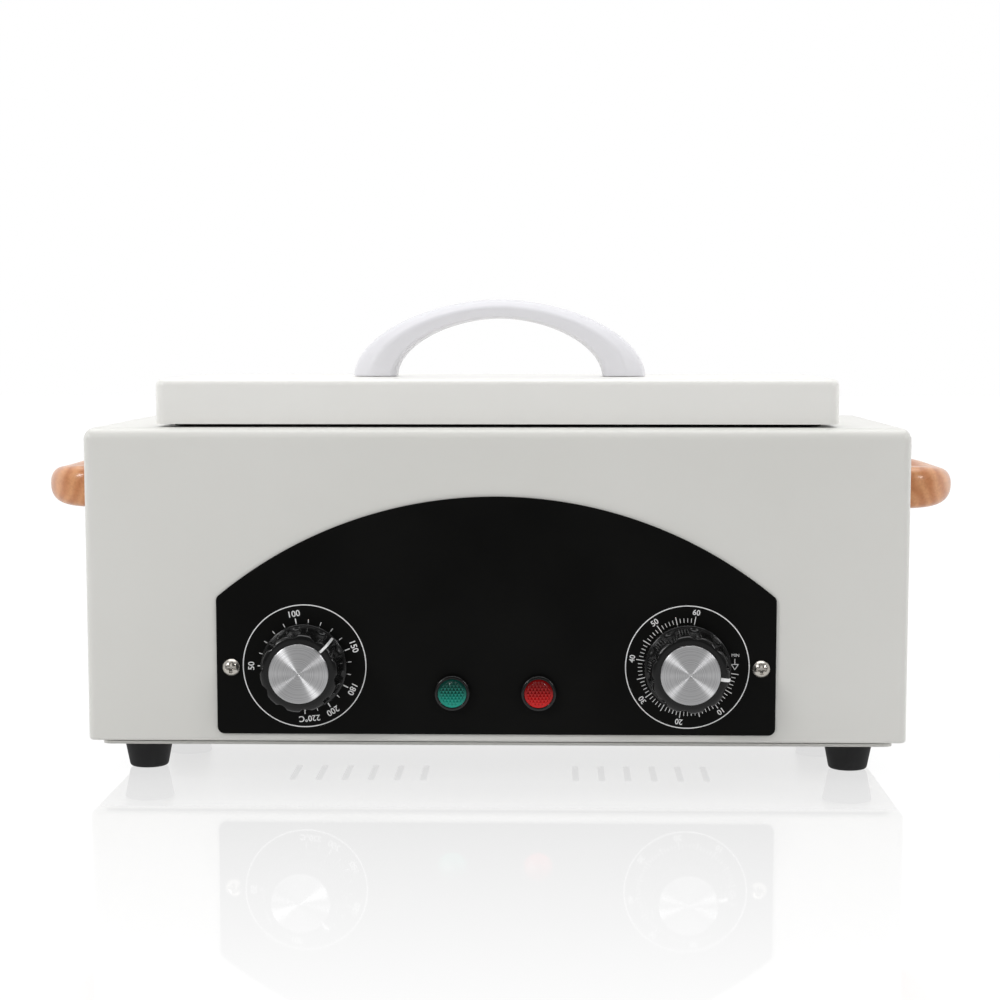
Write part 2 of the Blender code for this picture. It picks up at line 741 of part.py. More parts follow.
def screw_profile(length):
    """A pan head that starts at z 0 and its shank above it, from the far end of the shank down."""
    dome_radius = (SCREW_HEAD_RADIUS**2 + SCREW_HEAD_HEIGHT**2) / (2 * SCREW_HEAD_HEIGHT)
    centre = (0.0, dome_radius)
    reach = math.degrees(math.asin(SCREW_HEAD_RADIUS / dome_radius))
    dome = arc_points(centre, dome_radius, -90 + reach, -90, 2)
    tip = SCREW_HEAD_HEIGHT + length
    return [(0.0, tip), (SCREW_RADIUS, tip), (SCREW_RADIUS, SCREW_HEAD_HEIGHT)] + dome


def build_screw(name, at, turn, length=SCREW_LENGTH, parent=None, recess=False):
    """A pan-head screw. Its head's top is at the origin, and its shank runs along local +Z."""
    screw = add_part(name, turned_profile(screw_profile(length)), "nickel", at, turn, parent)
    spin(screw, HOLE_STEPS)
    if recess:
        cross = []
        for long_x in (True, False):
            half_x, half_y = RECESS_SPAN / 2, RECESS_WIDTH / 2
            if not long_x:
                half_x, half_y = half_y, half_x
            cross.append([Vector((sx * half_x, sy * half_y)) for sx, sy in ((1, -1), (1, 1), (-1, 1), (-1, -1))])
        first = add_cutter(f"{name}_slot_a", prism(cross[0], -OVERRUN, RECESS_DEPTH), at, turn)
        second = add_cutter(f"{name}_slot_b", prism(cross[1], -OVERRUN, RECESS_DEPTH), at, turn)
        boolean(screw, first)
        boolean(screw, second)
    return screw


def build_plate_screws():
    """Four screws that hold the bottom plate to the housing's lip."""
    for side, side_name in ((-1, "left"), (1, "right")):
        for end, end_name in ((-1, "front"), (1, "rear")):
            x, y = plate_screw_place(side, end)
            z = PLATE_BOTTOM_Z - GAP - SCREW_HEAD_HEIGHT
            build_screw(f"plate_screw_{end_name}_{side_name}", (x, y, z), (0.0, 0.0, 0.0))


def panel_outline():
    """The control panel's edge: a straight foot with round corners and one wide arc over the shoulders."""
    half, corner = PANEL_WIDTH / 2, PANEL_CORNER
    sagitta = PANEL_HEIGHT - PANEL_SHOULDER
    arch_radius = (half**2 + sagitta**2) / (2 * sagitta)
    arch_z = PANEL_HEIGHT - arch_radius
    fillet_z = arch_z + math.sqrt((arch_radius - corner) ** 2 - (half - corner) ** 2)
    shoulder_deg = math.degrees(math.atan2(fillet_z - arch_z, half - corner))
    points = arc_points((half - corner, corner), corner, -90, 0)
    points += arc_points((half - corner, fillet_z), corner, 0, shoulder_deg)
    points += arc_points((0.0, arch_z), arch_radius, shoulder_deg, 180 - shoulder_deg, ARCH_STEPS)[1:-1]
    points += arc_points((corner - half, fillet_z), corner, 180 - shoulder_deg, 180)
    points += arc_points((corner - half, corner), corner, 180, 270)
    return [Vector(point) for point in points]


def build_control_panel():
    """The arched plate with holes for two shafts, two lamps and two screws."""
    outlines = [panel_outline()]
    for side in (-1, 1):
        outlines.append(circle(SHAFT_HOLE_RADIUS, PLAIN_STEPS, (side * KNOB_X, KNOB_Z)))
        outlines.append(circle(LAMP_BARREL_RADIUS + GAP, PLAIN_STEPS, (side * LAMP_X, LAMP_Z)))
        outlines.append(circle(SCREW_HOLE_RADIUS, HOLE_STEPS, (side * PANEL_SCREW_X, PANEL_SCREW_Z)))
    mesh = flat_plate(outlines, PANEL_SHEET)
    place = (0.0, FRONT_Y - GAP - PANEL_SHEET / 2, PANEL_BOTTOM_Z)
    add_part("control_panel", mesh, "black_plate", place, (math.radians(90), 0.0, 0.0))
    for side, side_name in ((-1, "left"), (1, "right")):
        head_y = FRONT_Y - PANEL_REACH - GAP - SCREW_HEAD_HEIGHT
        place = (side * PANEL_SCREW_X, head_y, PANEL_BOTTOM_Z + PANEL_SCREW_Z)
        build_screw(f"panel_screw_{side_name}", place, (math.radians(-90), 0.0, 0.0), recess=True)


def shaft_section(radius, flat_cut):
    """A round shaft's section with a drive flat along one side."""
    half_angle = math.acos((radius - flat_cut) / radius)
    steps = PLAIN_STEPS
    start = half_angle
    sweep = 2 * math.pi - 2 * half_angle
    return [
        radius * Vector((math.cos(start + sweep * i / steps), math.sin(start + sweep * i / steps)))
        for i in range(steps + 1)
    ]


def build_knob(kind, side, pointer_deg):
    """A fluted knob with its pointer rib, spun aluminium cap and flatted shaft, on one axis."""
    face_y = FRONT_Y - PANEL_REACH
    axis = add_axis(f"{kind}_knob_axis", (side * KNOB_X, face_y, KNOB_CENTRE_Z))
    turn = (math.radians(90), 0.0, 0.0)
    pointer = math.radians(pointer_deg)
    base_y = face_y - KNOB_LIFT

    skirt, shoulder = KNOB_SKIRT_HEIGHT, KNOB_SHOULDER
    profile = [(0.0, KNOB_HEIGHT)]
    profile += arc_points((KNOB_TOP_RADIUS - shoulder, KNOB_HEIGHT - shoulder), shoulder, 90, 0)
    profile += [(KNOB_WAIST_RADIUS, skirt)]
    profile += arc_points((KNOB_SKIRT_RADIUS - KNOB_EDGE, skirt - KNOB_EDGE), KNOB_EDGE, 90, 0, 2)
    profile += [(KNOB_SKIRT_RADIUS, 0.0), (0.0, 0.0)]
    knob = add_part(f"{kind}_knob", turned_profile(profile), "black_plastic", (side * KNOB_X, base_y, KNOB_CENTRE_Z))
    knob.parent = axis
    knob.location -= axis.location
    knob.rotation_euler = turn
    spin(knob, KNOB_STEPS)

    place = Matrix.Translation((side * KNOB_X, base_y, KNOB_CENTRE_Z)) @ Matrix.Rotation(turn[0], 4, "X")
    rib = pointer_rib(pointer)
    rib.transform(place)
    boolean(knob, add_cutter(f"{kind}_knob_pointer", rib), "UNION")
    flutes = []
    for index in range(KNOB_FLUTES):
        flute = knob_flute(pointer + 2 * math.pi * (index + 1 / 2) / KNOB_FLUTES)
        flute.transform(place)
        flutes.append(flute)
    bore = prism(shaft_section(SHAFT_RADIUS + GAP, SHAFT_FLAT_CUT), -OVERRUN, KNOB_BORE_DEPTH)
    bore.transform(place)
    boolean(knob, add_cutter(f"{kind}_knob_flutes", joined("flutes", flutes + [bore])))

    cap_profile = [(0.0, CAP_THICKNESS), (CAP_RADIUS - CAP_EDGE, CAP_THICKNESS)]
    cap_profile += [(CAP_RADIUS, CAP_THICKNESS - CAP_EDGE), (CAP_RADIUS, 0.0), (0.0, 0.0)]
    cap_y = base_y - KNOB_HEIGHT - GAP
    cap = add_part(
        f"{kind}_knob_cap", turned_profile(cap_profile), "spun_aluminium", (side * KNOB_X, cap_y, KNOB_CENTRE_Z), turn, axis
    )
    spin(cap, FINE_STEPS)

    inner_end = FRONT_Y + BODY_SHEET + CONTROL_BORE_DEPTH
    outer_end = base_y - KNOB_BORE_DEPTH + GAP
    section = shaft_section(SHAFT_RADIUS, SHAFT_FLAT_CUT)
    shaft = prism(section, 0.0, inner_end - outer_end)
    add_part(f"{kind}_shaft", shaft, "nickel", (side * KNOB_X, inner_end, KNOB_CENTRE_Z), turn, axis)


def knob_flute(angle):
    """A finger groove along the knob's flank, from above its skirt out through its top, on the flank's slope."""
    rings = []
    for height in (KNOB_SKIRT_HEIGHT + KNOB_EDGE, KNOB_HEIGHT + OVERRUN):
        share = (height - KNOB_SKIRT_HEIGHT) / (KNOB_HEIGHT - KNOB_SKIRT_HEIGHT)
        flank = KNOB_WAIST_RADIUS + (KNOB_TOP_RADIUS - KNOB_WAIST_RADIUS) * share
        reach = flank - KNOB_FLUTE_DEPTH + KNOB_FLUTE_RADIUS
        centre = reach * Vector((math.cos(angle), math.sin(angle)))
        rings.append(ring_at(circle(KNOB_FLUTE_RADIUS, FLUTE_STEPS, centre), height))
    return loft(rings, cap_first=True)


def pointer_rib(pointer):
    """A narrow rib from the cap's edge over the shoulder and down the flank to the skirt, a little proud."""
    inner, rise = CAP_RADIUS + GAP, POINTER_RISE
    buried = CAP_RADIUS - KNOB_SHOULDER
    skirt, shoulder = KNOB_SKIRT_HEIGHT, KNOB_SHOULDER
    flank = [(buried, skirt / 2), (KNOB_SKIRT_RADIUS - KNOB_EDGE, skirt / 2), (KNOB_SKIRT_RADIUS - KNOB_EDGE, skirt)]
    flank += [(KNOB_WAIST_RADIUS + rise, skirt + rise)]
    corner = (KNOB_TOP_RADIUS - shoulder, KNOB_HEIGHT - shoulder)
    flank += arc_points(corner, shoulder + rise, 0, 90)
    flank += [(inner, KNOB_HEIGHT + rise), (inner, KNOB_HEIGHT - KNOB_EDGE), (buried, KNOB_HEIGHT - KNOB_EDGE)]
    rings = []
    for half in (-POINTER_WIDTH / 2, POINTER_WIDTH / 2):
        rings.append([Vector((x, half, z)) for x, z in flank])
    mesh = closed_loft(rings, "pointer")
    mesh.transform(Matrix.Rotation(pointer, 4, "Z"))
    return mesh


def build_thermostat():
    """The thermostat's moulded block and the bush on its front, bored for the shaft."""
    inner_y = FRONT_Y + BODY_SHEET + GAP
    bush = prism(circle(BUSH_RADIUS), 0.0, BUSH_LENGTH + CONTROL_BEVEL)
    body = mesh_from(lambda bm: box_into(bm, THERMOSTAT_WIDTH, THERMOSTAT_HEIGHT, THERMOSTAT_DEPTH), "block")
    bm = bmesh.new()
    bm.from_mesh(body)
    bmesh.ops.bevel(bm, geom=bm.edges[:], offset=CONTROL_BEVEL, segments=2, affect="EDGES", profile=0.5)
    bm.to_mesh(body)
    bm.free()
    body.transform(Matrix.Translation((0.0, 0.0, BUSH_LENGTH + THERMOSTAT_DEPTH / 2)))
    build_control("thermostat", -1, inner_y, body, bush, "brown_phenolic")


def build_timer():
    """The clockwork timer: a round case with its bell at the back and a bush on its front."""
    inner_y = FRONT_Y + BODY_SHEET + GAP
    bush = prism(circle(BUSH_RADIUS), 0.0, BUSH_LENGTH + CONTROL_BEVEL)
    rings = []
    start = BUSH_LENGTH
    for radius, height in (
        (TIMER_RADIUS - CONTROL_BEVEL, start),
        (TIMER_RADIUS, start + CONTROL_BEVEL),
        (TIMER_RADIUS, start + TIMER_DEPTH),
        (TIMER_BELL_RADIUS, start + TIMER_DEPTH),
        (TIMER_BELL_RADIUS, start + TIMER_DEPTH + TIMER_BELL_DEPTH / 2),
        (TIMER_BELL_RADIUS / 2, start + TIMER_DEPTH + TIMER_BELL_DEPTH),
    ):
        rings.append(ring_at(circle(radius), height))
    build_control("timer", 1, inner_y, loft(rings, cap_first=True), bush, "nickel")


def box_into(bm, size_x, size_y, size_z):
    """A centred box in a bmesh."""
    bmesh.ops.create_cube(bm, size=1.0, matrix=Matrix.Diagonal((size_x, size_y, size_z, 1.0)))


def build_control(name, side, inner_y, body, bush, finish):
    """A control whose front bush stands against the front wall, with the bore for its shaft."""
    turn = (math.radians(-90), 0.0, 0.0)
    place = (side * KNOB_X, inner_y, KNOB_CENTRE_Z)
    control = add_part(name, body, finish, place, turn)
    boolean(control, add_cutter(f"{name}_bush", bush, place, turn), "UNION")
    bore = prism(circle(SHAFT_RADIUS + GAP), -OVERRUN, CONTROL_BORE_DEPTH + GAP)
    boolean(control, add_cutter(f"{name}_bore", bore, place, turn))


def build_lamps():
    """Two pilot lamps: bezel, coloured lens and the nut behind the wall."""
    for side, colour in ((-1, "green"), (1, "red")):
        place = (side * LAMP_X, FRONT_Y - PANEL_REACH - GAP, PANEL_BOTTOM_Z + LAMP_Z)
        turn = (math.radians(90), 0.0, 0.0)
        rim = LAMP_FLANGE_RADIUS - LAMP_RIM_WALL
        seat = LAMP_FLANGE_HEIGHT - LAMP_RIM_DEPTH
        bore = LAMP_BARREL_RADIUS - LAMP_WALL
        profile = [(rim, LAMP_FLANGE_HEIGHT), (LAMP_FLANGE_RADIUS - LAMP_EDGE, LAMP_FLANGE_HEIGHT)]
        profile += [(LAMP_FLANGE_RADIUS, LAMP_FLANGE_HEIGHT - LAMP_EDGE), (LAMP_FLANGE_RADIUS, 0.0)]
        profile += [(LAMP_BARREL_RADIUS, 0.0), (LAMP_BARREL_RADIUS, -LAMP_BARREL_LENGTH)]
        profile += [(bore, -LAMP_BARREL_LENGTH), (bore, seat), (rim, seat), (rim, LAMP_FLANGE_HEIGHT)]
        bezel = add_part(f"lamp_bezel_{colour}", turned_profile(profile), "black_plastic", place, turn)
        spin(bezel)

        face = LAMP_FLANGE_HEIGHT
        lens_profile = [(0.0, face + LENS_DOME), ((rim - GAP) / 2, face + LENS_DOME * 3 / 4), (rim - GAP, face)]
        lens_profile += [(rim - GAP, seat + GAP), (bore - GAP, seat + GAP)]
        lens_profile += [(bore - GAP, -LENS_STEM_LENGTH), (0.0, -LENS_STEM_LENGTH)]
        lens = add_part(f"lamp_lens_{colour}", turned_profile(lens_profile), f"{colour}_lens", place, turn)
        spin(lens)

        nut_mesh = flat_plate([circle(NUT_RADIUS, 6), circle(LAMP_BARREL_RADIUS + GAP)], NUT_THICKNESS)
        nut_y = FRONT_Y + BODY_SHEET + GAP + NUT_THICKNESS / 2
        add_part(f"lamp_nut_{colour}", nut_mesh, "nickel", (place[0], nut_y, place[2]), turn)


def build_chamber():
    """The stainless tank: its flange lies on the housing's top and its wall drops through the mouth."""
    half_x, half_y, ease = TANK_WIDTH / 2, TANK_DEPTH / 2, TANK_ENTRY_ROUND
    flange = rounded_rectangle(half_x + TANK_FLANGE_X, half_y + TANK_FLANGE_Y, TANK_CORNER)
    rings = [ring_at(flange, TANK_TOP_Z)]
    rings.append(ring_at(rounded_rectangle(half_x + ease, half_y + ease, TANK_CORNER + ease), TANK_TOP_Z))
    rings += basin_rings(half_x, half_y, TANK_CORNER, TANK_FLOOR_ROUND, TANK_TOP_Z - ease, TANK_FLOOR_Z)
    chamber = add_part("chamber", loft(rings), "stainless", (0.0, LID_Y, 0.0))
    solidify(chamber, TANK_SHEET)


def jacket_levels():
    """Inner half width, inner half depth, inner floor and top of the insulation jacket."""
    half_x = TANK_WIDTH / 2 + TANK_SHEET + GAP
    half_y = TANK_DEPTH / 2 + TANK_SHEET + GAP
    floor = TANK_UNDER_Z - GAP - 2 * HEATER_RADIUS - GAP
    return half_x, half_y, floor, BODY_TOP_Z - BODY_SHEET - GAP


def build_insulation():
    """The glass-wool jacket round the chamber, with holes for the heater's ends and the sensor tube."""
    half_x, half_y, floor, top = jacket_levels()
    outline = rounded_rectangle(half_x, half_y, TANK_CORNER)
    mesh = loft([ring_at(outline, top), ring_at(outline, floor)])
    jacket = add_part("chamber_insulation", mesh, "glass_wool", (0.0, LID_Y, 0.0))
    solidify(jacket, JACKET_THICKNESS)
    through = JACKET_THICKNESS + 2 * OVERRUN
    heater_z = TANK_UNDER_Z - GAP - HEATER_RADIUS
    holes = [
        side_cylinder(HEATER_RADIUS + GAP, -1, LID_Y + end * HEATER_LEG_Y, heater_z, OVERRUN - half_x, through, PLAIN_STEPS)
        for end in (-1, 1)
    ]
    bulb_z = TANK_UNDER_Z - GAP - BULB_RADIUS
    holes.append(side_cylinder(CAPILLARY_RADIUS + GAP, -1, LID_Y, bulb_z, OVERRUN - half_x, through))
    boolean(jacket, add_cutter("insulation_holes", joined("holes", holes)))


def build_heater():
    """A hairpin tubular heater under the chamber's floor, its ends out through the jacket."""
    half_x = jacket_levels()[0]
    z = TANK_UNDER_Z - GAP - HEATER_RADIUS
    end_x = -half_x - JACKET_THICKNESS - HEATER_END_REACH
    path = [(end_x, LID_Y - HEATER_LEG_Y, z)]
    turns = PLAIN_STEPS // 2
    for step in range(turns + 1):
        angle = math.radians(-90) + math.pi * step / turns
        x = HEATER_TURN_X + HEATER_LEG_Y * math.cos(angle)
        path.append((x, LID_Y + HEATER_LEG_Y * math.sin(angle), z))
    path.append((end_x, LID_Y + HEATER_LEG_Y, z))
    add_part("heater", wire(path, HEATER_RADIUS, sides=3), "stainless")


def build_sensor():
    """The thermostat's bulb under the chamber and the capillary tube that leads down to its block."""
    half_x = jacket_levels()[0]
    z = TANK_UNDER_Z - GAP - BULB_RADIUS
    profile = [(0.0, BULB_LENGTH / 2), (BULB_RADIUS / 2, BULB_LENGTH / 2)]
    profile += [(BULB_RADIUS, BULB_LENGTH / 2 - BULB_RADIUS / 2), (BULB_RADIUS, -BULB_LENGTH / 2), (0.0, -BULB_LENGTH / 2)]
    bulb = add_part("sensor_bulb", turned_profile(profile), "copper", (0.0, LID_Y, z), (0.0, math.radians(90), 0.0))
    spin(bulb, PLAIN_STEPS)
    drop_x = -half_x - JACKET_THICKNESS - CAPILLARY_REACH
    block_y = FRONT_Y + BODY_SHEET + GAP + BUSH_LENGTH + THERMOSTAT_DEPTH / 2
    block_side = -KNOB_X - THERMOSTAT_WIDTH / 2 - GAP
    corners = [
        (-BULB_LENGTH / 2 - GAP, LID_Y, z),
        (drop_x, LID_Y, z),
        (drop_x, LID_Y, KNOB_CENTRE_Z),
        (drop_x, block_y, KNOB_CENTRE_Z),
        (block_side, block_y, KNOB_CENTRE_Z),
    ]
    path = rounded_path(corners, CAPILLARY_REACH / 2)
    add_part("capillary_tube", wire(path, CAPILLARY_RADIUS), "copper")


def build_tray():
    """The slotted instrument tray with a rolled-out rim, and its two wire grips."""
    half_x = TANK_WIDTH / 2 - TRAY_CLEARANCE - TRAY_SHEET - TRAY_RIM
    half_y = TANK_DEPTH / 2 - TRAY_CLEARANCE - TRAY_SHEET - TRAY_RIM
    floor = TANK_FLOOR_Z + GAP + TRAY_SHEET
    top = floor + TRAY_HEIGHT
    rim = rounded_rectangle(half_x + TRAY_RIM, half_y + TRAY_RIM, TRAY_CORNER + TRAY_RIM)
    rings = [ring_at(rim, top)]
    rings += basin_rings(half_x, half_y, TRAY_CORNER, TRAY_FLOOR_ROUND, top, floor)
    tray = add_part("instrument_tray", loft(rings), "stainless", (0.0, LID_Y, 0.0))
    solidify(tray, TRAY_SHEET)
    slots = []
    for column in range(TRAY_SLOT_COLUMNS):
        for row in (-1, 1):
            x = (column - (TRAY_SLOT_COLUMNS - 1) / 2) * TRAY_SLOT_PITCH
            outline = slot(TRAY_SLOT_LENGTH, TRAY_SLOT_WIDTH, (x, LID_Y + row * TRAY_SLOT_ROW_Y), upright=True)
            slots.append(prism(outline, floor - TRAY_SHEET - OVERRUN, floor + OVERRUN))
    boolean(tray, add_cutter("tray_slots", joined("slots", slots)))
    for side, side_name in ((-1, "left"), (1, "right")):
        x = side * (half_x - GAP - GRIP_WIRE_RADIUS)
        low, high = top - GRIP_DROP, top + GRIP_RISE
        half = GRIP_WIDTH / 2
        corners = [(x, LID_Y - half, low), (x, LID_Y - half, high), (x, LID_Y + half, high), (x, LID_Y + half, low)]
        add_part(f"tray_grip_{side_name}", wire(rounded_path(corners, GRIP_BEND), GRIP_WIRE_RADIUS), "stainless")


def build_lid(axis):
    """The lid's painted pan, liner, insulation board and gasket, all carried on the hinge axis."""
    half_x, half_y = LID_WIDTH / 2, LID_DEPTH / 2
    rings = pan_rings(half_x, half_y, LID_CORNER, LID_ROUND, LID_BOTTOM_Z, LID_TOP_Z)
    shell = add_part("lid_shell", loft(rings), "white_paint", (0.0, LID_Y, 0.0), parent=axis)
    solidify(shell, LID_SHEET)
    holes = [
        upright_cylinder(SCREW_HOLE_RADIUS, side * arch_feet_x(), LID_Y, LID_TOP_Z - LID_SHEET - OVERRUN, LID_TOP_Z + OVERRUN)
        for side in (-1, 1)
    ]
    boolean(shell, add_cutter("lid_screw_holes", joined("holes", holes)))

    wall = LID_SHEET + GAP + LINER_SHEET
    liner_floor = LINER_Z + LINER_SHEET
    corner = LID_CORNER - LID_SHEET
    rings = basin_rings(half_x - wall, half_y - wall, corner, LINER_ROUND, liner_floor + LINER_RIM, liner_floor)
    liner = add_part("lid_liner", loft(rings), "stainless", (0.0, LID_Y, 0.0), parent=axis)
    solidify(liner, LINER_SHEET)

    board_x, board_y = half_x - wall - LID_BOARD_MARGIN, half_y - wall - LID_BOARD_MARGIN
    board_z = liner_floor + GAP
    board = prism(rounded_rectangle(board_x, board_y, corner), board_z, board_z + LID_BOARD_THICKNESS)
    add_part("lid_insulation", board, "glass_wool", (0.0, LID_Y, 0.0), parent=axis)

    gasket_x, gasket_y = half_x - GASKET_INSET_X, half_y - GASKET_INSET_Y
    outlines = [
        rounded_rectangle(gasket_x, gasket_y, GASKET_CORNER),
        rounded_rectangle(gasket_x - GASKET_WIDTH, gasket_y - GASKET_WIDTH, GASKET_CORNER / 2),
    ]
    thickness = LINER_RISE - 2 * GAP
    place = (0.0, LID_Y, BODY_TOP_Z + GAP + thickness / 2)
    add_part("lid_gasket", flat_plate(outlines, thickness), "black_rubber", place, parent=axis)


def arch_section(share):
    """One ring of the lid handle at a share of the way along the arch, from the left foot to the right."""
    angle = math.pi * (1 - share)
    flat = 2 / ARCH_POWER
    cos_part = math.copysign(abs(math.cos(angle)) ** flat, math.cos(angle))
    sin_part = abs(math.sin(angle)) ** flat
    outer = Vector((ARCH_OUTER_X * cos_part, 0.0, ARCH_OUTER_RISE * sin_part))
    inner = Vector((ARCH_INNER_X * cos_part, 0.0, ARCH_INNER_RISE * sin_part))
    centre, out = (outer + inner) / 2, (outer - inner) / 2
    depth = ARCH_CROWN_DEPTH + (ARCH_FOOT_DEPTH - ARCH_CROWN_DEPTH) * abs(math.cos(angle)) ** 2
    return oval_ring(centre, out, Vector((0.0, depth / 2, 0.0)), SECTION_STEPS, ARCH_OVAL)


def oval_ring(centre, first, second, steps, power):
    """A closed ring round a centre, between an ellipse and a rectangle on two half axes."""
    ring = []
    for step in range(steps):
        angle = 2 * math.pi * (step + 1 / 2) / steps
        cos_part = math.copysign(abs(math.cos(angle)) ** (2 / power), math.cos(angle))
        sin_part = math.copysign(abs(math.sin(angle)) ** (2 / power), math.sin(angle))
        ring.append(centre + first * cos_part + second * sin_part)
    return ring


def closed_loft(rings, name):
    """A loft with both ends capped and its faces turned outwards."""
    mesh = loft(rings, cap_first=True)
    bm = bmesh.new()
    bm.from_mesh(mesh)
    bmesh.ops.recalc_face_normals(bm, faces=bm.faces)
    bm.to_mesh(mesh)
    bm.free()
    mesh.name = name
    return mesh


def build_lid_handle(axis):
    """The white arch handle and the two screws that hold it from inside the lid."""
    rings = [arch_section(step / ARCH_STEPS) for step in range(ARCH_STEPS + 1)]
    place = (0.0, LID_Y, LID_TOP_Z + GAP)
    handle = add_part("lid_handle", closed_loft(rings, "arch"), "white_plastic", place, parent=axis)
    holes = [
        upright_cylinder(SCREW_HOLE_RADIUS, side * arch_feet_x(), LID_Y, LID_TOP_Z - OVERRUN, LID_TOP_Z + ARCH_SCREW_DEPTH)
        for side in (-1, 1)
    ]
    boolean(handle, add_cutter("lid_handle_holes", joined("holes", holes)))
    for side, side_name in ((-1, "left"), (1, "right")):
        z = LID_TOP_Z - LID_SHEET - GAP - SCREW_HEAD_HEIGHT
        length = LID_SHEET + GAP + ARCH_SCREW_DEPTH - GAP
        build_screw(f"lid_handle_screw_{side_name}", (side * arch_feet_x(), LID_Y, z), (0.0, 0.0, 0.0), length, axis)


def bow_section(side, share):
    """One ring of a side handle at a share of the way along it, from its front foot to its rear foot."""
    angle = math.pi * (1 - share)
    flat = 2 / BOW_POWER
    cos_part = math.copysign(abs(math.cos(angle)) ** flat, math.cos(angle))
    sin_part = abs(math.sin(angle)) ** flat
    outer = Vector((side * BOW_REACH * sin_part, BOW_LENGTH / 2 * cos_part, 0.0))
    inner = Vector((side * BOW_INNER_REACH * sin_part, BOW_INNER_LENGTH / 2 * cos_part, 0.0))
    centre, out = (outer + inner) / 2, (outer - inner) / 2
    height = BOW_HEIGHT * math.sqrt(1 - (centre.x / BOW_REACH) ** 2)
    return oval_ring(centre, out, Vector((0.0, 0.0, height / 2)), SECTION_STEPS, BOW_OVAL)


def build_side_handles():
    """Two wooden bow handles, each held by two screws through the end wall."""
    for side, side_name in ((-1, "left"), (1, "right")):
        rings = [bow_section(side, step / ARCH_STEPS) for step in range(ARCH_STEPS + 1)]
        wall_x = side * (BODY_WIDTH / 2 + GAP)
        z = BODY_BOTTOM_Z + BOW_Z
        bow = add_part(f"side_handle_{side_name}", closed_loft(rings, "bow"), "varnished_wood", (wall_x, BODY_Y, z))
        holes = [
            side_cylinder(SCREW_HOLE_RADIUS, side, BODY_Y + end * bow_feet_y(), z, wall_x - side * OVERRUN, OVERRUN + BOW_SCREW_DEPTH)
            for end in (-1, 1)
        ]
        boolean(bow, add_cutter(f"side_handle_holes_{side_name}", joined("holes", holes)))
        head_x = side * (BODY_WIDTH / 2 - BODY_SHEET - GAP - SCREW_HEAD_HEIGHT)
        length = BODY_SHEET + GAP + BOW_SCREW_DEPTH
        for end, end_name in ((-1, "front"), (1, "rear")):
            place = (head_x, BODY_Y + end * bow_feet_y(), z)
            turn = (0.0, math.radians(90) * side, 0.0)
            build_screw(f"handle_screw_{side_name}_{end_name}", place, turn, length)


def hinge_outline(leaf, standing=False):
    """A hinge leaf rolled into its knuckle, seen along the pin. The leaf lies back, or stands up."""
    radius, inner = HINGE_BARREL_RADIUS, HINGE_BARREL_RADIUS - HINGE_SHEET
    root = math.degrees(math.atan2(-inner, math.sqrt(radius**2 - inner**2)))
    points = [(leaf, -radius), (leaf, -inner)] + arc_points((0.0, 0.0), radius, root, 270, PLAIN_STEPS)
    if standing:
        points = [(z, y) for y, z in points]
    return [Vector(point) for point in points]


def along_pin(mesh, centre_x):
    """Turns a solid drawn in XY and thick along Z so that it is drawn in YZ and thick along X."""
    turn = Matrix(((0, 0, 1, 0), (1, 0, 0, 0), (0, 1, 0, 0), (0, 0, 0, 1)))
    mesh.transform(Matrix.Translation((centre_x, 0.0, 0.0)) @ turn)
    return mesh


def build_hinges(axis):
    """Two butt hinges: a leaf on the housing with two knuckles, a leaf on the lid with one, and a pin."""
    third = HINGE_LENGTH / 3
    clear = HINGE_BARREL_RADIUS + 2 * GAP
    bore = circle(HINGE_PIN_RADIUS + GAP, HOLE_STEPS)
    at = (0.0, HINGE_Y, HINGE_Z)
    for side, side_name in ((-1, "left"), (1, "right")):
        centre = side * HINGE_X
        mesh = along_pin(flat_plate([hinge_outline(HINGE_LEAF), bore], HINGE_LENGTH), centre)
        lower = add_part(f"hinge_leaf_lower_{side_name}", mesh, "stainless", at)
        half = third / 2 + GAP
        middle = along_pin(prism(circle(clear), -half, half), centre)
        boolean(lower, add_cutter(f"lower_clearance_{side_name}", middle, at))

        mesh = along_pin(flat_plate([hinge_outline(HINGE_UPPER_LEAF, True), bore], HINGE_LENGTH), centre)
        upper = add_part(f"hinge_leaf_upper_{side_name}", mesh, "stainless", at, parent=axis)
        inner, outer = third / 2 - GAP, HINGE_LENGTH / 2 + OVERRUN
        ends = [prism(circle(clear), low, high) for low, high in ((-outer, -inner), (inner, outer))]
        ends = [along_pin(mesh, centre) for mesh in ends]
        boolean(upper, add_cutter(f"upper_clearance_{side_name}", joined("ends", ends), at))

        tip = HINGE_LENGTH / 2 + GAP
        head = HINGE_BARREL_RADIUS
        profile = [(0.0, tip), (HINGE_PIN_RADIUS, tip), (HINGE_PIN_RADIUS, -tip)]
        profile += [(head, -tip), (head, -tip - HINGE_PIN_HEAD), (0.0, -tip - HINGE_PIN_HEAD)]
        turn = (0.0, math.radians(90) * -side, 0.0)
        pin = add_part(f"hinge_pin_{side_name}", turned_profile(profile), "nickel", (centre, HINGE_Y, HINGE_Z), turn)
        spin(pin)


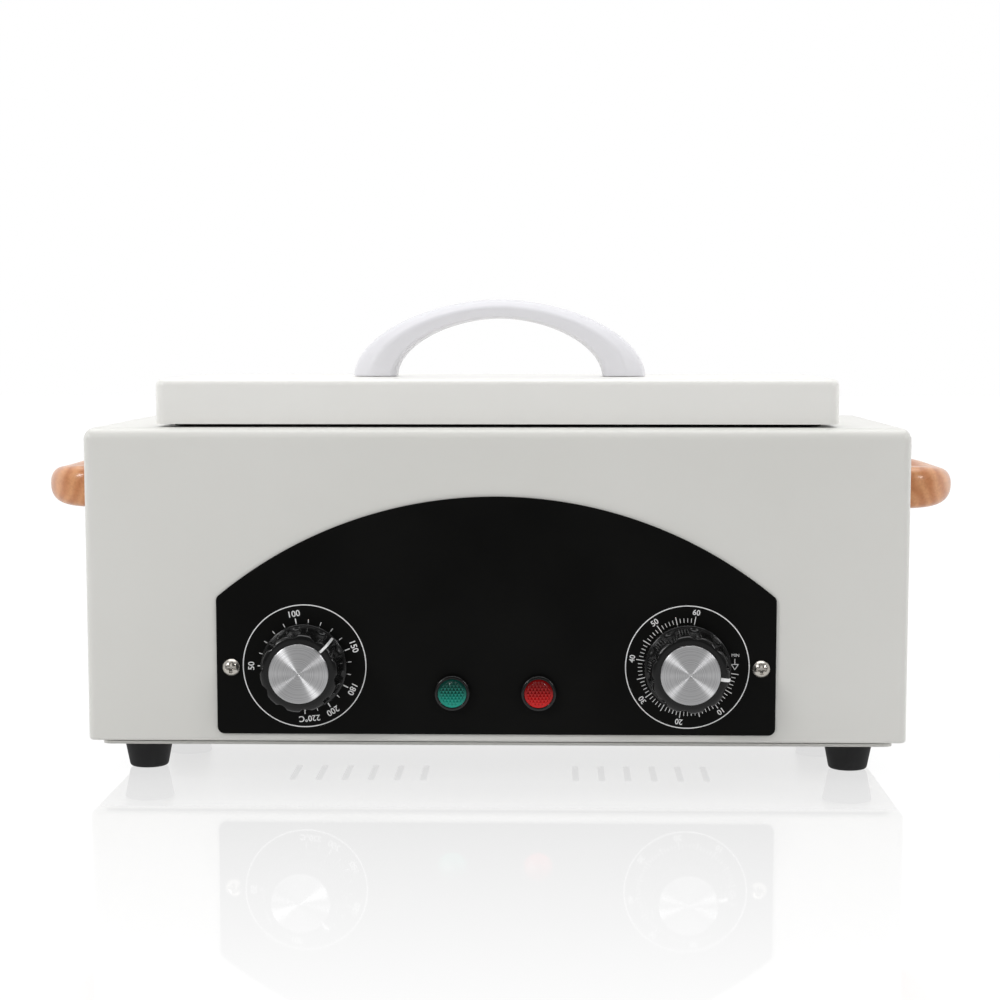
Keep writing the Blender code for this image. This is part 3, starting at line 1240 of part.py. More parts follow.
def build_cord_entry():
    """The rubber bush in the back wall and the terminal block inside, on the bottom plate."""
    groove = BODY_SHEET + 2 * GAP
    back = GROMMET_FLANGE
    front = -groove - GROMMET_FLANGE
    edge = GROMMET_EDGE
    profile = [(GROMMET_BORE_RADIUS, back), (GROMMET_FLANGE_RADIUS - edge, back), (GROMMET_FLANGE_RADIUS, back - edge)]
    profile += [(GROMMET_FLANGE_RADIUS, 0.0), (GROMMET_NECK_RADIUS, 0.0), (GROMMET_NECK_RADIUS, -groove)]
    profile += [(GROMMET_FLANGE_RADIUS, -groove), (GROMMET_FLANGE_RADIUS, front + edge)]
    profile += [(GROMMET_FLANGE_RADIUS - edge, front), (GROMMET_BORE_RADIUS, front), (GROMMET_BORE_RADIUS, back)]
    place = (GROMMET_X, BACK_Y + GAP, BODY_BOTTOM_Z + GROMMET_Z)
    grommet = add_part("cord_bush", turned_profile(profile), "black_rubber", place, (math.radians(-90), 0.0, 0.0))
    spin(grommet)

    block = mesh_from(lambda bm: box_into(bm, BLOCK_WIDTH, BLOCK_DEPTH, BLOCK_HEIGHT), "block")
    bm = bmesh.new()
    bm.from_mesh(block)
    bmesh.ops.bevel(bm, geom=bm.edges[:], offset=BLOCK_BEVEL, segments=1, affect="EDGES", profile=0.5)
    bm.to_mesh(block)
    bm.free()
    y = BACK_Y - BODY_SHEET - BLOCK_BACK_SPACE - BLOCK_DEPTH / 2
    z = PLATE_TOP_Z + GAP + BLOCK_HEIGHT / 2
    terminal = add_part("terminal_block", block, "brown_phenolic", (GROMMET_X, y, z))
    wells = []
    for pole in range(BLOCK_POLES):
        x = GROMMET_X + (pole - (BLOCK_POLES - 1) / 2) * BLOCK_WIDTH / BLOCK_POLES
        for row in (-1, 1):
            wells.append(
                upright_cylinder(BLOCK_WELL_RADIUS, x, y + row * BLOCK_DEPTH / 4, z, z + BLOCK_HEIGHT)
            )
    boolean(terminal, add_cutter("terminal_wells", joined("wells", wells)))


def main():
    """Builds the assembly from the floor up."""
    clear_scene()
    build_feet()
    build_bottom_plate()
    build_plate_screws()
    build_housing()
    build_side_handles()
    build_control_panel()
    build_knob("temperature", -1, TEMPERATURE_POINTER_DEG)
    build_knob("timer", 1, TIMER_POINTER_DEG)
    build_thermostat()
    build_timer()
    build_lamps()
    build_chamber()
    build_insulation()
    build_heater()
    build_sensor()
    build_tray()
    build_cord_entry()
    hinge_axis = add_axis("lid_hinge_axis", (0.0, HINGE_Y, HINGE_Z))
    build_hinges(hinge_axis)
    build_lid(hinge_axis)
    build_lid_handle(hinge_axis)


main()
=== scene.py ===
import bmesh
import bpy
import numpy as np
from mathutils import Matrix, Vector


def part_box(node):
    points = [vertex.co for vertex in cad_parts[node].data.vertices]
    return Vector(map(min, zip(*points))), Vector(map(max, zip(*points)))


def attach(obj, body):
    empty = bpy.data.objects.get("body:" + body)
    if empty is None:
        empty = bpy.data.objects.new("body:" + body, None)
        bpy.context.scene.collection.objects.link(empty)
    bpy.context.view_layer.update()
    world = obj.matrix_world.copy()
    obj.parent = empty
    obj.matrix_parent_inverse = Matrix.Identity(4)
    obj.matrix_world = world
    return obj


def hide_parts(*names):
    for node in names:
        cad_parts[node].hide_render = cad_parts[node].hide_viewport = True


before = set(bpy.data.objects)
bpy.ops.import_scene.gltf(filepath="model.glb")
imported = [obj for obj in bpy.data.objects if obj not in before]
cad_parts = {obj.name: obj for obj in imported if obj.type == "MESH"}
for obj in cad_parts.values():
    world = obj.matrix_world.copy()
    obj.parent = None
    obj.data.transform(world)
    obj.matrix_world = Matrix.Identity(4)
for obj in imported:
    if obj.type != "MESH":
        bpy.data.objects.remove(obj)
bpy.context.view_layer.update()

# Studio: a wide pale floor under a white backdrop, with one large soft lamp overhead and two smaller ones in
# front, left and right. The floor is faintly polished, so the sterilizer is mirrored in it, less so further out.
STUDIO_FLOOR_HALF = 6.0
STUDIO_FLOOR_Z = -0.0004
CAMERA_PLACE = (0.02415, -0.99431, 0.18766)
CAMERA_TURN_DEG = (83.775, 0.0, 1.379)

scene = bpy.context.scene
scene.view_settings.view_transform = "Standard"


def shader_tree(owner):
    """The empty node tree of a material or world, with calls that add a node and join two sockets."""
    owner.use_nodes = True
    tree = owner.node_tree
    tree.nodes.clear()

    def node(kind, **values):
        made = tree.nodes.new(kind)
        for key, value in values.items():
            if key in made.inputs:
                made.inputs[key].default_value = value
            else:
                setattr(made, key, value)
        return made

    def join(source, target):
        tree.links.new(source, target)

    return node, join


camera_data = bpy.data.cameras.new("camera")
camera_data.lens = 79.1
camera_data.sensor_width = 36.0
camera_data.shift_y = 0.0766
camera = bpy.data.objects.new("camera", camera_data)
camera.location = CAMERA_PLACE
camera.rotation_euler = np.radians(CAMERA_TURN_DEG)
scene.collection.objects.link(camera)
scene.camera = camera

floor_mesh = bpy.data.meshes.new("studio_floor")
reach = STUDIO_FLOOR_HALF
floor_mesh.from_pydata(
    [(-reach, -reach, STUDIO_FLOOR_Z), (reach, -reach, STUDIO_FLOOR_Z), (reach, reach, STUDIO_FLOOR_Z), (-reach, reach, STUDIO_FLOOR_Z)],
    [],
    [(0, 1, 2, 3)],
)
studio_floor = bpy.data.objects.new("studio_floor", floor_mesh)
scene.collection.objects.link(studio_floor)

floor_finish = bpy.data.materials.new("studio_floor")
node, join = shader_tree(floor_finish)
floor_out = node("ShaderNodeOutputMaterial")
floor_seen = node("ShaderNodeLightPath")
floor_plain = node("ShaderNodeBsdfDiffuse", Color=(0.80, 0.80, 0.80, 1.0))
floor_shaded = node("ShaderNodeBsdfDiffuse", Color=(0.10, 0.10, 0.10, 1.0))
floor_glow = node("ShaderNodeEmission")
floor_white = node("ShaderNodeAddShader")
floor_mirror = node("ShaderNodeBsdfGlossy", Color=(1.0, 1.0, 1.0, 1.0), Roughness=0.03)
floor_mirrored = node("ShaderNodeEmission")
floor_place = node("ShaderNodeTexCoord")
floor_axes = node("ShaderNodeSeparateXYZ")
floor_distance = node("ShaderNodeVectorMath", operation="LENGTH")
floor_whiteness = node("ShaderNodeMapRange", **{"From Min": 0.3, "From Max": 1.0, "To Min": 0.95, "To Max": 1.0})
floor_aside = node("ShaderNodeMath", operation="ABSOLUTE")
floor_ahead = node("ShaderNodeMath", operation="ABSOLUTE")
floor_sides = node("ShaderNodeMapRange", **{"From Min": 0.21, "From Max": 0.27, "To Min": 1.0, "To Max": 0.0})
floor_fade = node("ShaderNodeMapRange", **{"From Min": 0.06, "From Max": 0.42, "To Min": 0.27, "To Max": 0.06})
floor_share = node("ShaderNodeMath", operation="MULTIPLY")
floor_depth = node("ShaderNodeMapRange", **{"From Min": -0.9, "From Max": 0.1, "To Min": 0.15, "To Max": 0.9})
floor_sheen = node("ShaderNodeMixShader")
floor_mix = node("ShaderNodeMixShader")
floor_seen_again = node("ShaderNodeMixShader")
join(floor_place.outputs["Object"], floor_axes.inputs[0])
join(floor_place.outputs["Object"], floor_distance.inputs[0])
join(floor_distance.outputs["Value"], floor_whiteness.inputs["Value"])
join(floor_axes.outputs["X"], floor_aside.inputs[0])
join(floor_axes.outputs["Y"], floor_ahead.inputs[0])
join(floor_aside.outputs[0], floor_sides.inputs["Value"])
join(floor_ahead.outputs[0], floor_fade.inputs["Value"])
join(floor_sides.outputs["Result"], floor_share.inputs[0])
join(floor_fade.outputs["Result"], floor_share.inputs[1])
join(floor_axes.outputs["Y"], floor_depth.inputs["Value"])
join(floor_whiteness.outputs["Result"], floor_glow.inputs["Strength"])
join(floor_depth.outputs["Result"], floor_mirrored.inputs["Strength"])
join(floor_shaded.outputs[0], floor_white.inputs[0])
join(floor_glow.outputs[0], floor_white.inputs[1])
join(floor_share.outputs[0], floor_sheen.inputs[0])
join(floor_white.outputs[0], floor_sheen.inputs[1])
join(floor_mirror.outputs[0], floor_sheen.inputs[2])
join(floor_seen.outputs["Is Glossy Ray"], floor_seen_again.inputs[0])
join(floor_plain.outputs[0], floor_seen_again.inputs[1])
join(floor_mirrored.outputs[0], floor_seen_again.inputs[2])
join(floor_seen.outputs["Is Camera Ray"], floor_mix.inputs[0])
join(floor_seen_again.outputs[0], floor_mix.inputs[1])
join(floor_sheen.outputs[0], floor_mix.inputs[2])
join(floor_mix.outputs[0], floor_out.inputs["Surface"])
floor_mesh.materials.append(floor_finish)

room = bpy.data.worlds.new("studio_room")
scene.world = room
node, join = shader_tree(room)
room_out = node("ShaderNodeOutputWorld")
room_seen = node("ShaderNodeLightPath")
room_rays = node("ShaderNodeMath", operation="MAXIMUM")
room_white = node("ShaderNodeBackground", Color=(1.0, 1.0, 1.0, 1.0), Strength=1.0)
room_fill = node("ShaderNodeBackground", Color=(1.0, 1.0, 1.0, 1.0), Strength=0.29)
room_mirrored = node("ShaderNodeBackground", Strength=1.0)
room_place = node("ShaderNodeTexCoord")
room_axes = node("ShaderNodeSeparateXYZ")
room_depth = node("ShaderNodeMapRange", **{"From Min": -0.5, "From Max": 0.3, "To Min": 0.10, "To Max": 1.0})
room_plain = node("ShaderNodeMixShader")
room_mix = node("ShaderNodeMixShader")
join(room_place.outputs["Generated"], room_axes.inputs[0])
join(room_axes.outputs["Y"], room_depth.inputs["Value"])
join(room_depth.outputs["Result"], room_mirrored.inputs["Color"])
join(room_seen.outputs["Is Glossy Ray"], room_plain.inputs[0])
join(room_fill.outputs[0], room_plain.inputs[1])
join(room_mirrored.outputs[0], room_plain.inputs[2])
join(room_seen.outputs["Is Camera Ray"], room_rays.inputs[0])
join(room_seen.outputs["Is Transmission Ray"], room_rays.inputs[1])
join(room_rays.outputs[0], room_mix.inputs[0])
join(room_plain.outputs[0], room_mix.inputs[1])
join(room_white.outputs[0], room_mix.inputs[2])
join(room_mix.outputs[0], room_out.inputs["Surface"])

for lamp_name, place, target, size, power in (
    ("lamp_overhead", (0.0, 0.15, 1.50), (0.0, 0.0, 0.1), (1.8, 1.2), 15.0),
    ("lamp_front_left", (-1.26, -1.18, 1.00), (0.0, 0.0, 0.08), (0.38, 0.48), 10.0),
    ("lamp_front_right", (1.34, -1.23, 0.90), (0.0, 0.0, 0.08), (0.32, 0.40), 5.6),
    ("lamp_side_left", (-1.50, 0.35, 0.45), (0.0, 0.02, 0.08), (0.9, 0.9), 3.8),
    ("lamp_side_right", (1.50, 0.35, 0.45), (0.0, 0.02, 0.08), (0.9, 0.9), 5.6),
):
    lamp_data = bpy.data.lights.new(lamp_name, "AREA")
    lamp_data.shape = "RECTANGLE"
    lamp_data.size, lamp_data.size_y = size
    lamp_data.energy = power
    lamp = bpy.data.objects.new(lamp_name, lamp_data)
    lamp.location = place
    lamp.visible_glossy = "side" not in lamp_name
    aim = Vector(target) - Vector(place)
    lamp.rotation_euler = aim.to_track_quat("-Z", "Y").to_euler()
    scene.collection.objects.link(lamp)

# Housing: one bent and welded sheet-steel shell, open below, with a lip that the bottom plate screws to. It is
# powder coated in warm white, baked to a fine orange peel. Holes are punched before it is bent.
SHEET = 0.0010
housing_low, housing_high = (np.array(corner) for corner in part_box("housing"))
HOUSING_HALF = (housing_high - housing_low)[:2] / 2
HOUSING_MIDDLE = (housing_high + housing_low)[:2] / 2
HOUSING_CORNER, HOUSING_LEAST_CORNER = 0.0035, 0.0010
HOUSING_TOP_ROUND = 0.0050
HOUSING_FOOT_BEND = 0.0012
LIP_WIDTH = 0.0150
LIP_CORNER = 0.0020
tank_low, tank_high = (np.array(corner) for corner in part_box("chamber"))
TANK_MIDDLE = (tank_high + tank_low)[:2] / 2
MOUTH_HALF = (tank_high - tank_low)[:2] / 2 - (0.0092, 0.0032)
MOUTH_CORNER = 0.0100


def finish(name, light, dark, shine, mottle, grain, stretch=(1.0, 1.0, 1.0), lift=0.00002, **sockets):
    """A surface from two noises on object coordinates. The slow one (mottle, per metre) blends the light and the dark
    shade and the two values of roughness in shine. The fast one (grain, per metre) lifts the surface by up to lift
    metres. Stretch lengthens both along an axis, as brushing does."""
    made = bpy.data.materials.new(name)
    node, join = shader_tree(made)
    out = node("ShaderNodeOutputMaterial")
    shader = node("ShaderNodeBsdfPrincipled", **sockets)
    place = node("ShaderNodeTexCoord")
    scaled = node("ShaderNodeMapping")
    scaled.inputs["Scale"].default_value = stretch
    slow = node("ShaderNodeTexNoise", Scale=mottle, Detail=3.0)
    fast = node("ShaderNodeTexNoise", Scale=grain, Detail=2.0)
    shade = node("ShaderNodeValToRGB")
    shade.color_ramp.elements[0].position = 0.35
    shade.color_ramp.elements[0].color = (*dark, 1.0)
    shade.color_ramp.elements[1].position = 0.65
    shade.color_ramp.elements[1].color = (*light, 1.0)
    gloss = node("ShaderNodeMapRange", **{"From Min": 0.3, "From Max": 0.7, "To Min": shine[0], "To Max": shine[1]})
    relief = node("ShaderNodeBump", Strength=1.0, Distance=lift)
    join(place.outputs["Object"], scaled.inputs["Vector"])
    join(scaled.outputs[0], slow.inputs["Vector"])
    join(scaled.outputs[0], fast.inputs["Vector"])
    join(slow.outputs["Fac"], shade.inputs[0])
    join(slow.outputs["Fac"], gloss.inputs["Value"])
    join(fast.outputs["Fac"], relief.inputs["Height"])
    join(shade.outputs["Color"], shader.inputs["Base Color"])
    join(gloss.outputs["Result"], shader.inputs["Roughness"])
    join(relief.outputs["Normal"], shader.inputs["Normal"])
    join(shader.outputs[0], out.inputs["Surface"])
    made.diffuse_color = (*light, 1.0)
    return made


def corner_ring(half, radius, height, middle=(0.0, 0.0), steps=8):
    """A ring of points at one height: a rectangle whose corners are quarter circles, centre plus radius times
    (cos, sin) of the turn. Each quarter is the first one turned by 90 degrees about its own centre."""
    turn = np.radians(np.linspace(0.0, 90.0, steps + 1))
    arc = radius * np.stack([np.cos(turn), np.sin(turn)], -1)
    quarters = np.stack([arc, arc[:, ::-1] * (-1, 1), -arc, arc[:, ::-1] * (1, -1)])
    signs = np.array([(1, 1), (-1, 1), (-1, -1), (1, -1)])[:, None, :]
    flat = (quarters + signs * (np.asarray(half) - radius)).reshape(-1, 2) + middle
    return np.column_stack([flat, np.full(len(flat), height)])


def quarter_bend(radius, first=0.0, last=90.0, steps=6):
    """Inset and rise along a bend: radius times (1 - cos, sin) of an angle that runs from first to last."""
    angle = np.radians(np.linspace(first, last, steps + 1))
    return radius * (1 - np.cos(angle)), radius * np.sin(angle)


def skin(name, rings, loop=False):
    """A closed mesh over rings of as many points each. Quads join each ring to the next, and the last to the
    first for a loop. Otherwise a flat face closes each end, and a ring drawn to a point closes itself."""
    rings = np.asarray(rings, float)
    rows, columns = rings.shape[:2]
    row = np.arange(rows if loop else rows - 1)[:, None]
    column = np.arange(columns)[None, :]
    above, beside = (row + 1) % rows, (column + 1) % columns
    corners = (row * columns + column, row * columns + beside, above * columns + beside, above * columns + column)
    faces = np.stack(np.broadcast_arrays(*corners), -1).reshape(-1, 4).tolist()
    if not loop:
        ends = np.arange(columns)
        faces += [ends[::-1].tolist(), (ends + (rows - 1) * columns).tolist()]
    mesh = bpy.data.meshes.new(name)
    mesh.from_pydata(rings.reshape(-1, 3).tolist(), [], faces)
    bm = bmesh.new()
    bm.from_mesh(mesh)
    bmesh.ops.remove_doubles(bm, verts=bm.verts, dist=0.000001)
    bmesh.ops.recalc_face_normals(bm, faces=bm.faces)
    bm.to_mesh(mesh)
    bm.free()
    return mesh


def gathered(name, meshes):
    """One mesh of several closed ones."""
    bm = bmesh.new()
    for mesh in meshes:
        bm.from_mesh(mesh)
        bpy.data.meshes.remove(mesh)
    whole = bpy.data.meshes.new(name)
    bm.to_mesh(whole)
    bm.free()
    return whole


def punched(mesh, tools):
    """The mesh less the closed tool meshes."""
    work = bpy.data.objects.new("work", mesh)
    tool = bpy.data.objects.new("tool", gathered("tool", tools))
    for obj in (work, tool):
        scene.collection.objects.link(obj)
    cut = work.modifiers.new("cut", "BOOLEAN")
    cut.operation, cut.solver, cut.object = "DIFFERENCE", "EXACT", tool
    bpy.context.view_layer.update()
    made = bpy.data.meshes.new_from_object(work.evaluated_get(bpy.context.evaluated_depsgraph_get()))
    made.name = mesh.name
    for obj in (work, tool):
        bpy.data.objects.remove(obj, do_unlink=True)
    return made


def front_rod(radius, x, z, first_y, last_y, steps=48):
    """A closed rod along Y: the same circle at two places."""
    turn = np.linspace(0.0, 2 * np.pi, steps, endpoint=False)
    ring = np.stack([x + radius * np.cos(turn), np.zeros(steps), z + radius * np.sin(turn)], -1)
    return skin("rod", np.stack([ring + (0, first_y, 0), ring + (0, last_y, 0)]))


def upright_slot(length, width, x, z, first_y, last_y, steps=12):
    """A closed upright slot through a wall: two half circles, one above and one below the middle, at two places."""
    turn = np.linspace(0.0, np.pi, steps + 1)
    rise = (length - width) / 2
    top = np.stack([width / 2 * np.cos(turn), rise + width / 2 * np.sin(turn)], -1)
    flat = np.concatenate([top, -top])
    ring = np.stack([x + flat[:, 0], np.zeros(len(flat)), z + flat[:, 1]], -1)
    return skin("slot", np.stack([ring + (0, first_y, 0), ring + (0, last_y, 0)]))


def piece(name, mesh, surface, body, slot, *stands_for, crease=35.0):
    """Puts a finished mesh in the scene as one piece that rides on a body and stands for its CAD nodes. Edges
    sharper than the crease stay crisp, and large faces keep their own shading."""
    mesh.materials.clear()
    mesh.materials.append(surface)
    mesh.shade_smooth()
    mesh.set_sharp_from_angle(angle=np.radians(crease))
    obj = bpy.data.objects.new(name, mesh)
    scene.collection.objects.link(obj)
    level = obj.modifiers.new("flat_faces_stay_flat", "WEIGHTED_NORMAL")
    level.keep_sharp = True
    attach(obj, body)
    if stands_for:
        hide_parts(*stands_for)
    return obj


def dress(surface, *nodes):
    """Gives CAD nodes that stay a surface."""
    for name in nodes:
        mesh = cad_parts[name].data
        mesh.materials.clear()
        mesh.materials.append(surface)


white_enamel = finish(
    "white_enamel", (0.775, 0.770, 0.738), (0.755, 0.750, 0.715), (0.30, 0.38), 9.0, 900.0, lift=0.000012,
    **{"Coat Weight": 0.15, "Coat Roughness": 0.12},
)

height = housing_high[2] - housing_low[2]
floor_level = housing_low[2]


def housing_ring(inset, z):
    """A ring of the housing, drawn in by an inset. Its corners tighten with it, down to the least corner."""
    corner = max(HOUSING_CORNER - inset, HOUSING_LEAST_CORNER)
    return corner_ring(HOUSING_HALF - inset, corner, floor_level + z, HOUSING_MIDDLE)


foot_inset, foot_rise = quarter_bend(HOUSING_FOOT_BEND, steps=4)
top_inset, top_rise = quarter_bend(HOUSING_TOP_ROUND)
inner_foot_inset, inner_foot_rise = quarter_bend(HOUSING_FOOT_BEND - SHEET, steps=2)
inner_top_inset, inner_top_rise = quarter_bend(HOUSING_TOP_ROUND - SHEET)
outside = [(foot_inset[::-1][i], HOUSING_FOOT_BEND - foot_rise[::-1][i]) for i in range(len(foot_inset))]
outside += [(top_inset[i], height - HOUSING_TOP_ROUND + top_rise[i]) for i in range(len(top_inset))]
inside = [(SHEET + inner_top_inset[::-1][i], height - HOUSING_TOP_ROUND + inner_top_rise[::-1][i]) for i in range(len(inner_top_inset))]
inside += [(SHEET + inner_foot_inset[i], HOUSING_FOOT_BEND - inner_foot_rise[i]) for i in range(len(inner_foot_inset))]
housing_rings = [corner_ring(HOUSING_HALF - LIP_WIDTH, LIP_CORNER, floor_level, HOUSING_MIDDLE)]
housing_rings += [housing_ring(i, z) for i, z in outside]
housing_rings += [corner_ring(MOUTH_HALF, MOUTH_CORNER, floor_level + height - t, TANK_MIDDLE) for t in (0.0, SHEET)]
housing_rings += [housing_ring(i, z) for i, z in inside]
housing_rings += [corner_ring(HOUSING_HALF - LIP_WIDTH, LIP_CORNER, floor_level + SHEET, HOUSING_MIDDLE)]
housing_mesh = skin("housing_shell", housing_rings, loop=True)

front_y, back_y = housing_low[1], housing_high[1]
PUNCH_OVERRUN = 0.002
PANEL_BOTTOM_Z = floor_level + 0.0034
KNOB_X, KNOB_Z = 0.0814, PANEL_BOTTOM_Z + 0.0294
LAMP_X, LAMP_Z = 0.0184, PANEL_BOTTOM_Z + 0.0182
PANEL_SCREW_X, PANEL_SCREW_Z = 0.1127, PANEL_BOTTOM_Z + 0.0287
VENT_PLACES = np.add.outer((-0.085, 0.085), (np.arange(6) - 2.5) * 0.009).ravel()
VENT_Z = floor_level + 0.062
through_front = (front_y - PUNCH_OVERRUN, front_y + SHEET + PUNCH_OVERRUN)
through_back = (back_y - SHEET - PUNCH_OVERRUN, back_y + PUNCH_OVERRUN)
bush_low, bush_high = (np.array(corner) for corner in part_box("cord_bush"))
BUSH_X, BUSH_Z = (bush_low + bush_high)[[0, 2]] / 2
punches = [upright_slot(0.026, 0.003, x, VENT_Z, *through_back) for x in VENT_PLACES]
punches.append(front_rod(0.0060, BUSH_X, BUSH_Z, *through_back))
for side in (-1, 1):
    punches.append(front_rod(0.0050, side * KNOB_X, KNOB_Z, *through_front))
    punches.append(front_rod(0.0067, side * LAMP_X, LAMP_Z, *through_front))
    punches.append(front_rod(0.0023, side * PANEL_SCREW_X, PANEL_SCREW_Z, *through_front))
piece("housing_shell", punched(housing_mesh, punches), white_enamel, "base", "white_paint", "housing")

# Bottom plate: flat steel sheet with cooling slots and four raised pads under the housing's lip, coated like the
# housing and held by four screws through the pads.
dress(white_enamel, "bottom_plate")

# Feet: tapered rubber buffers with a recess below for the screw that holds each one to the bottom plate. They
# are moulded in black rubber that dulls and picks up a little dust.
black_rubber = finish(
    "black_rubber", (0.022, 0.022, 0.023), (0.013, 0.013, 0.014), (0.60, 0.78), 60.0, 1500.0, lift=0.00003,
    **{"Specular IOR Level": 0.35},
)


def eased(corners, reach, steps=5):
    """A line through corners, each rounded over its own reach to both sides. A rounded corner runs as the mean of
    start, corner and end with weights (1 - t)^2, 2 t (1 - t) and t^2. Both ends of the line stay as they are."""
    corners = np.asarray(corners, float)
    reach = np.broadcast_to(np.asarray(reach, float), len(corners) - 2)
    into, out = corners[:-2] - corners[1:-1], corners[2:] - corners[1:-1]
    start = corners[1:-1] + into / np.linalg.norm(into, axis=1, keepdims=True) * reach[:, None]
    end = corners[1:-1] + out / np.linalg.norm(out, axis=1, keepdims=True) * reach[:, None]
    t = np.linspace(0.0, 1.0, steps + 1)[None, :, None]
    curves = (1 - t) ** 2 * start[:, None] + 2 * t * (1 - t) * corners[1:-1][:, None] + t**2 * end[:, None]
    return np.concatenate([corners[:1], curves.reshape(-1, corners.shape[1]), corners[-1:]])


def turned(profile, steps=72):
    """Rings of a piece turned about the upright axis: each (radius, height) of the profile at every angle."""
    angle = np.linspace(0.0, 2 * np.pi, steps, endpoint=False)
    radius, rise = np.asarray(profile, float).T
    ring = np.stack([np.cos(angle), np.sin(angle)], -1)
    flat = radius[:, None, None] * ring
    return np.concatenate([flat, np.broadcast_to(rise[:, None, None], flat.shape[:2] + (1,))], -1)


FOOT_TOP_RADIUS, FOOT_BOTTOM_RADIUS = 0.01075, 0.00825
FOOT_RECESS_RADIUS, FOOT_RECESS_DEPTH = 0.0046, 0.0062
FOOT_HOLE_RADIUS = 0.0023
for end in ("front", "rear"):
    for side in ("left", "right"):
        low, high = (np.array(corner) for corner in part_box(f"foot_{end}_{side}"))
        middle, rise = (low + high) / 2, high[2]
        profile = [(FOOT_HOLE_RADIUS, rise), (FOOT_TOP_RADIUS, rise), (FOOT_BOTTOM_RADIUS, 0.0)]
        profile += [(FOOT_RECESS_RADIUS, 0.0), (FOOT_RECESS_RADIUS, FOOT_RECESS_DEPTH)]
        profile += [(FOOT_HOLE_RADIUS, FOOT_RECESS_DEPTH), (FOOT_HOLE_RADIUS, rise)]
        line = eased(profile, (0.0003, 0.0014, 0.0005, 0.0003, 0.0002))
        rings = turned(line) + (middle[0], middle[1], 0.0)
        piece(f"rubber_{end}_{side}", skin("foot", rings[:-1], loop=True), black_rubber, "base", "black_rubber", f"foot_{end}_{side}")

# Screws: pan heads with a cross recess, nickel plated. Those of the panel show, and those of the feet and the
# bottom plate show from below. The handles' screws sit inside the housing and the lid.
nickel = finish(
    "nickel_plate", (0.70, 0.67, 0.62), (0.60, 0.57, 0.52), (0.16, 0.30), 300.0, 4000.0, lift=0.000006, Metallic=1.0
)
SCREW_HEAD_RADIUS, SCREW_HEAD_HEIGHT, SCREW_SHANK_RADIUS = 0.0037, 0.0023, 0.0020
RECESS_SPAN, RECESS_WIDTH, RECESS_DEPTH = 0.0044, 0.0013, 0.0014


def screw_rings(length, steps=96):
    """Rings of a screw with its head's top at the origin and its shank along +Z. The head is a ball's cap whose
    height falls with the square of the radius. The cross sinks it by the recess depth where the distance to either
    of two crossed bars is below zero, eased over a quarter of a millimetre, and less deep towards the arms' ends."""
    radius = np.concatenate([np.linspace(0.0, 0.93, 30), [0.97, 0.99, 1.0]]) * SCREW_HEAD_RADIUS
    angle = np.linspace(0.0, 2 * np.pi, steps, endpoint=False)
    x, y = radius[:, None] * np.cos(angle), radius[:, None] * np.sin(angle)
    dome = SCREW_HEAD_HEIGHT * 0.80 * (radius[:, None] / SCREW_HEAD_RADIUS) ** 2.6 + 0 * x
    arms = [np.maximum(abs(a) - RECESS_WIDTH / 2, abs(b) - RECESS_SPAN / 2) for a, b in ((x, y), (y, x))]
    share = np.clip(-np.minimum(*arms) / 0.00020 + 0.2, 0.0, 1.0)
    sink = RECESS_DEPTH * share * (1.15 - 0.6 * radius[:, None] / (RECESS_SPAN / 2)).clip(0.0, 1.0)
    head = np.stack([x, y, dome + sink], -1)
    shank = [(SCREW_HEAD_RADIUS, SCREW_HEAD_HEIGHT), (SCREW_SHANK_RADIUS, SCREW_HEAD_HEIGHT)]
    shank += [(SCREW_SHANK_RADIUS, SCREW_HEAD_HEIGHT + length), (0.0, SCREW_HEAD_HEIGHT + length)]
    return np.concatenate([head, turned(shank, steps)])


def faced_front(points, x, y, z):
    """Turns a piece drawn with its axis up so that the axis points away from the viewer in front, then places it."""
    return np.stack([points[..., 0] + x, points[..., 2] + y, points[..., 1] + z], -1)


for side in ("left", "right"):
    low, high = (np.array(corner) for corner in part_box(f"panel_screw_{side}"))
    middle = (low + high) / 2
    rings = faced_front(screw_rings(0.009), middle[0], low[1], middle[2])
    piece(f"panel_pan_head_{side}", skin("screw", rings), nickel, "base", "nickel", f"panel_screw_{side}")
for kind in ("foot", "plate"):
    for end in ("front", "rear"):
        for side in ("left", "right"):
            name = f"{kind}_screw_{end}_{side}"
            low, high = (np.array(corner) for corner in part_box(name))
            middle, length = (low + high) / 2, high[2] - low[2] - SCREW_HEAD_HEIGHT
            rings = screw_rings(length, 64) + (middle[0], middle[1], low[2])
            piece(f"{kind}_pan_head_{end}_{side}", skin("screw", rings), nickel, "base", "nickel", name)
dress(nickel, "handle_screw_left_front", "handle_screw_left_rear", "handle_screw_right_front", "handle_screw_right_rear")

# Side handles: beech bows sawn and sanded to a round bar at the middle and a tall foot at each end, stained and
# varnished. Two screws from inside the housing hold each one.
BOW_LENGTH, BOW_INNER_LENGTH = 0.1040, 0.0700
BOW_REACH, BOW_INNER_REACH = 0.0275, 0.0155
BOW_HEIGHT, BOW_POWER, BOW_TALL_POWER = 0.0184, 2.6, 2.6
BOW_OVAL, BOW_SQUARER = 2.1, 1.0

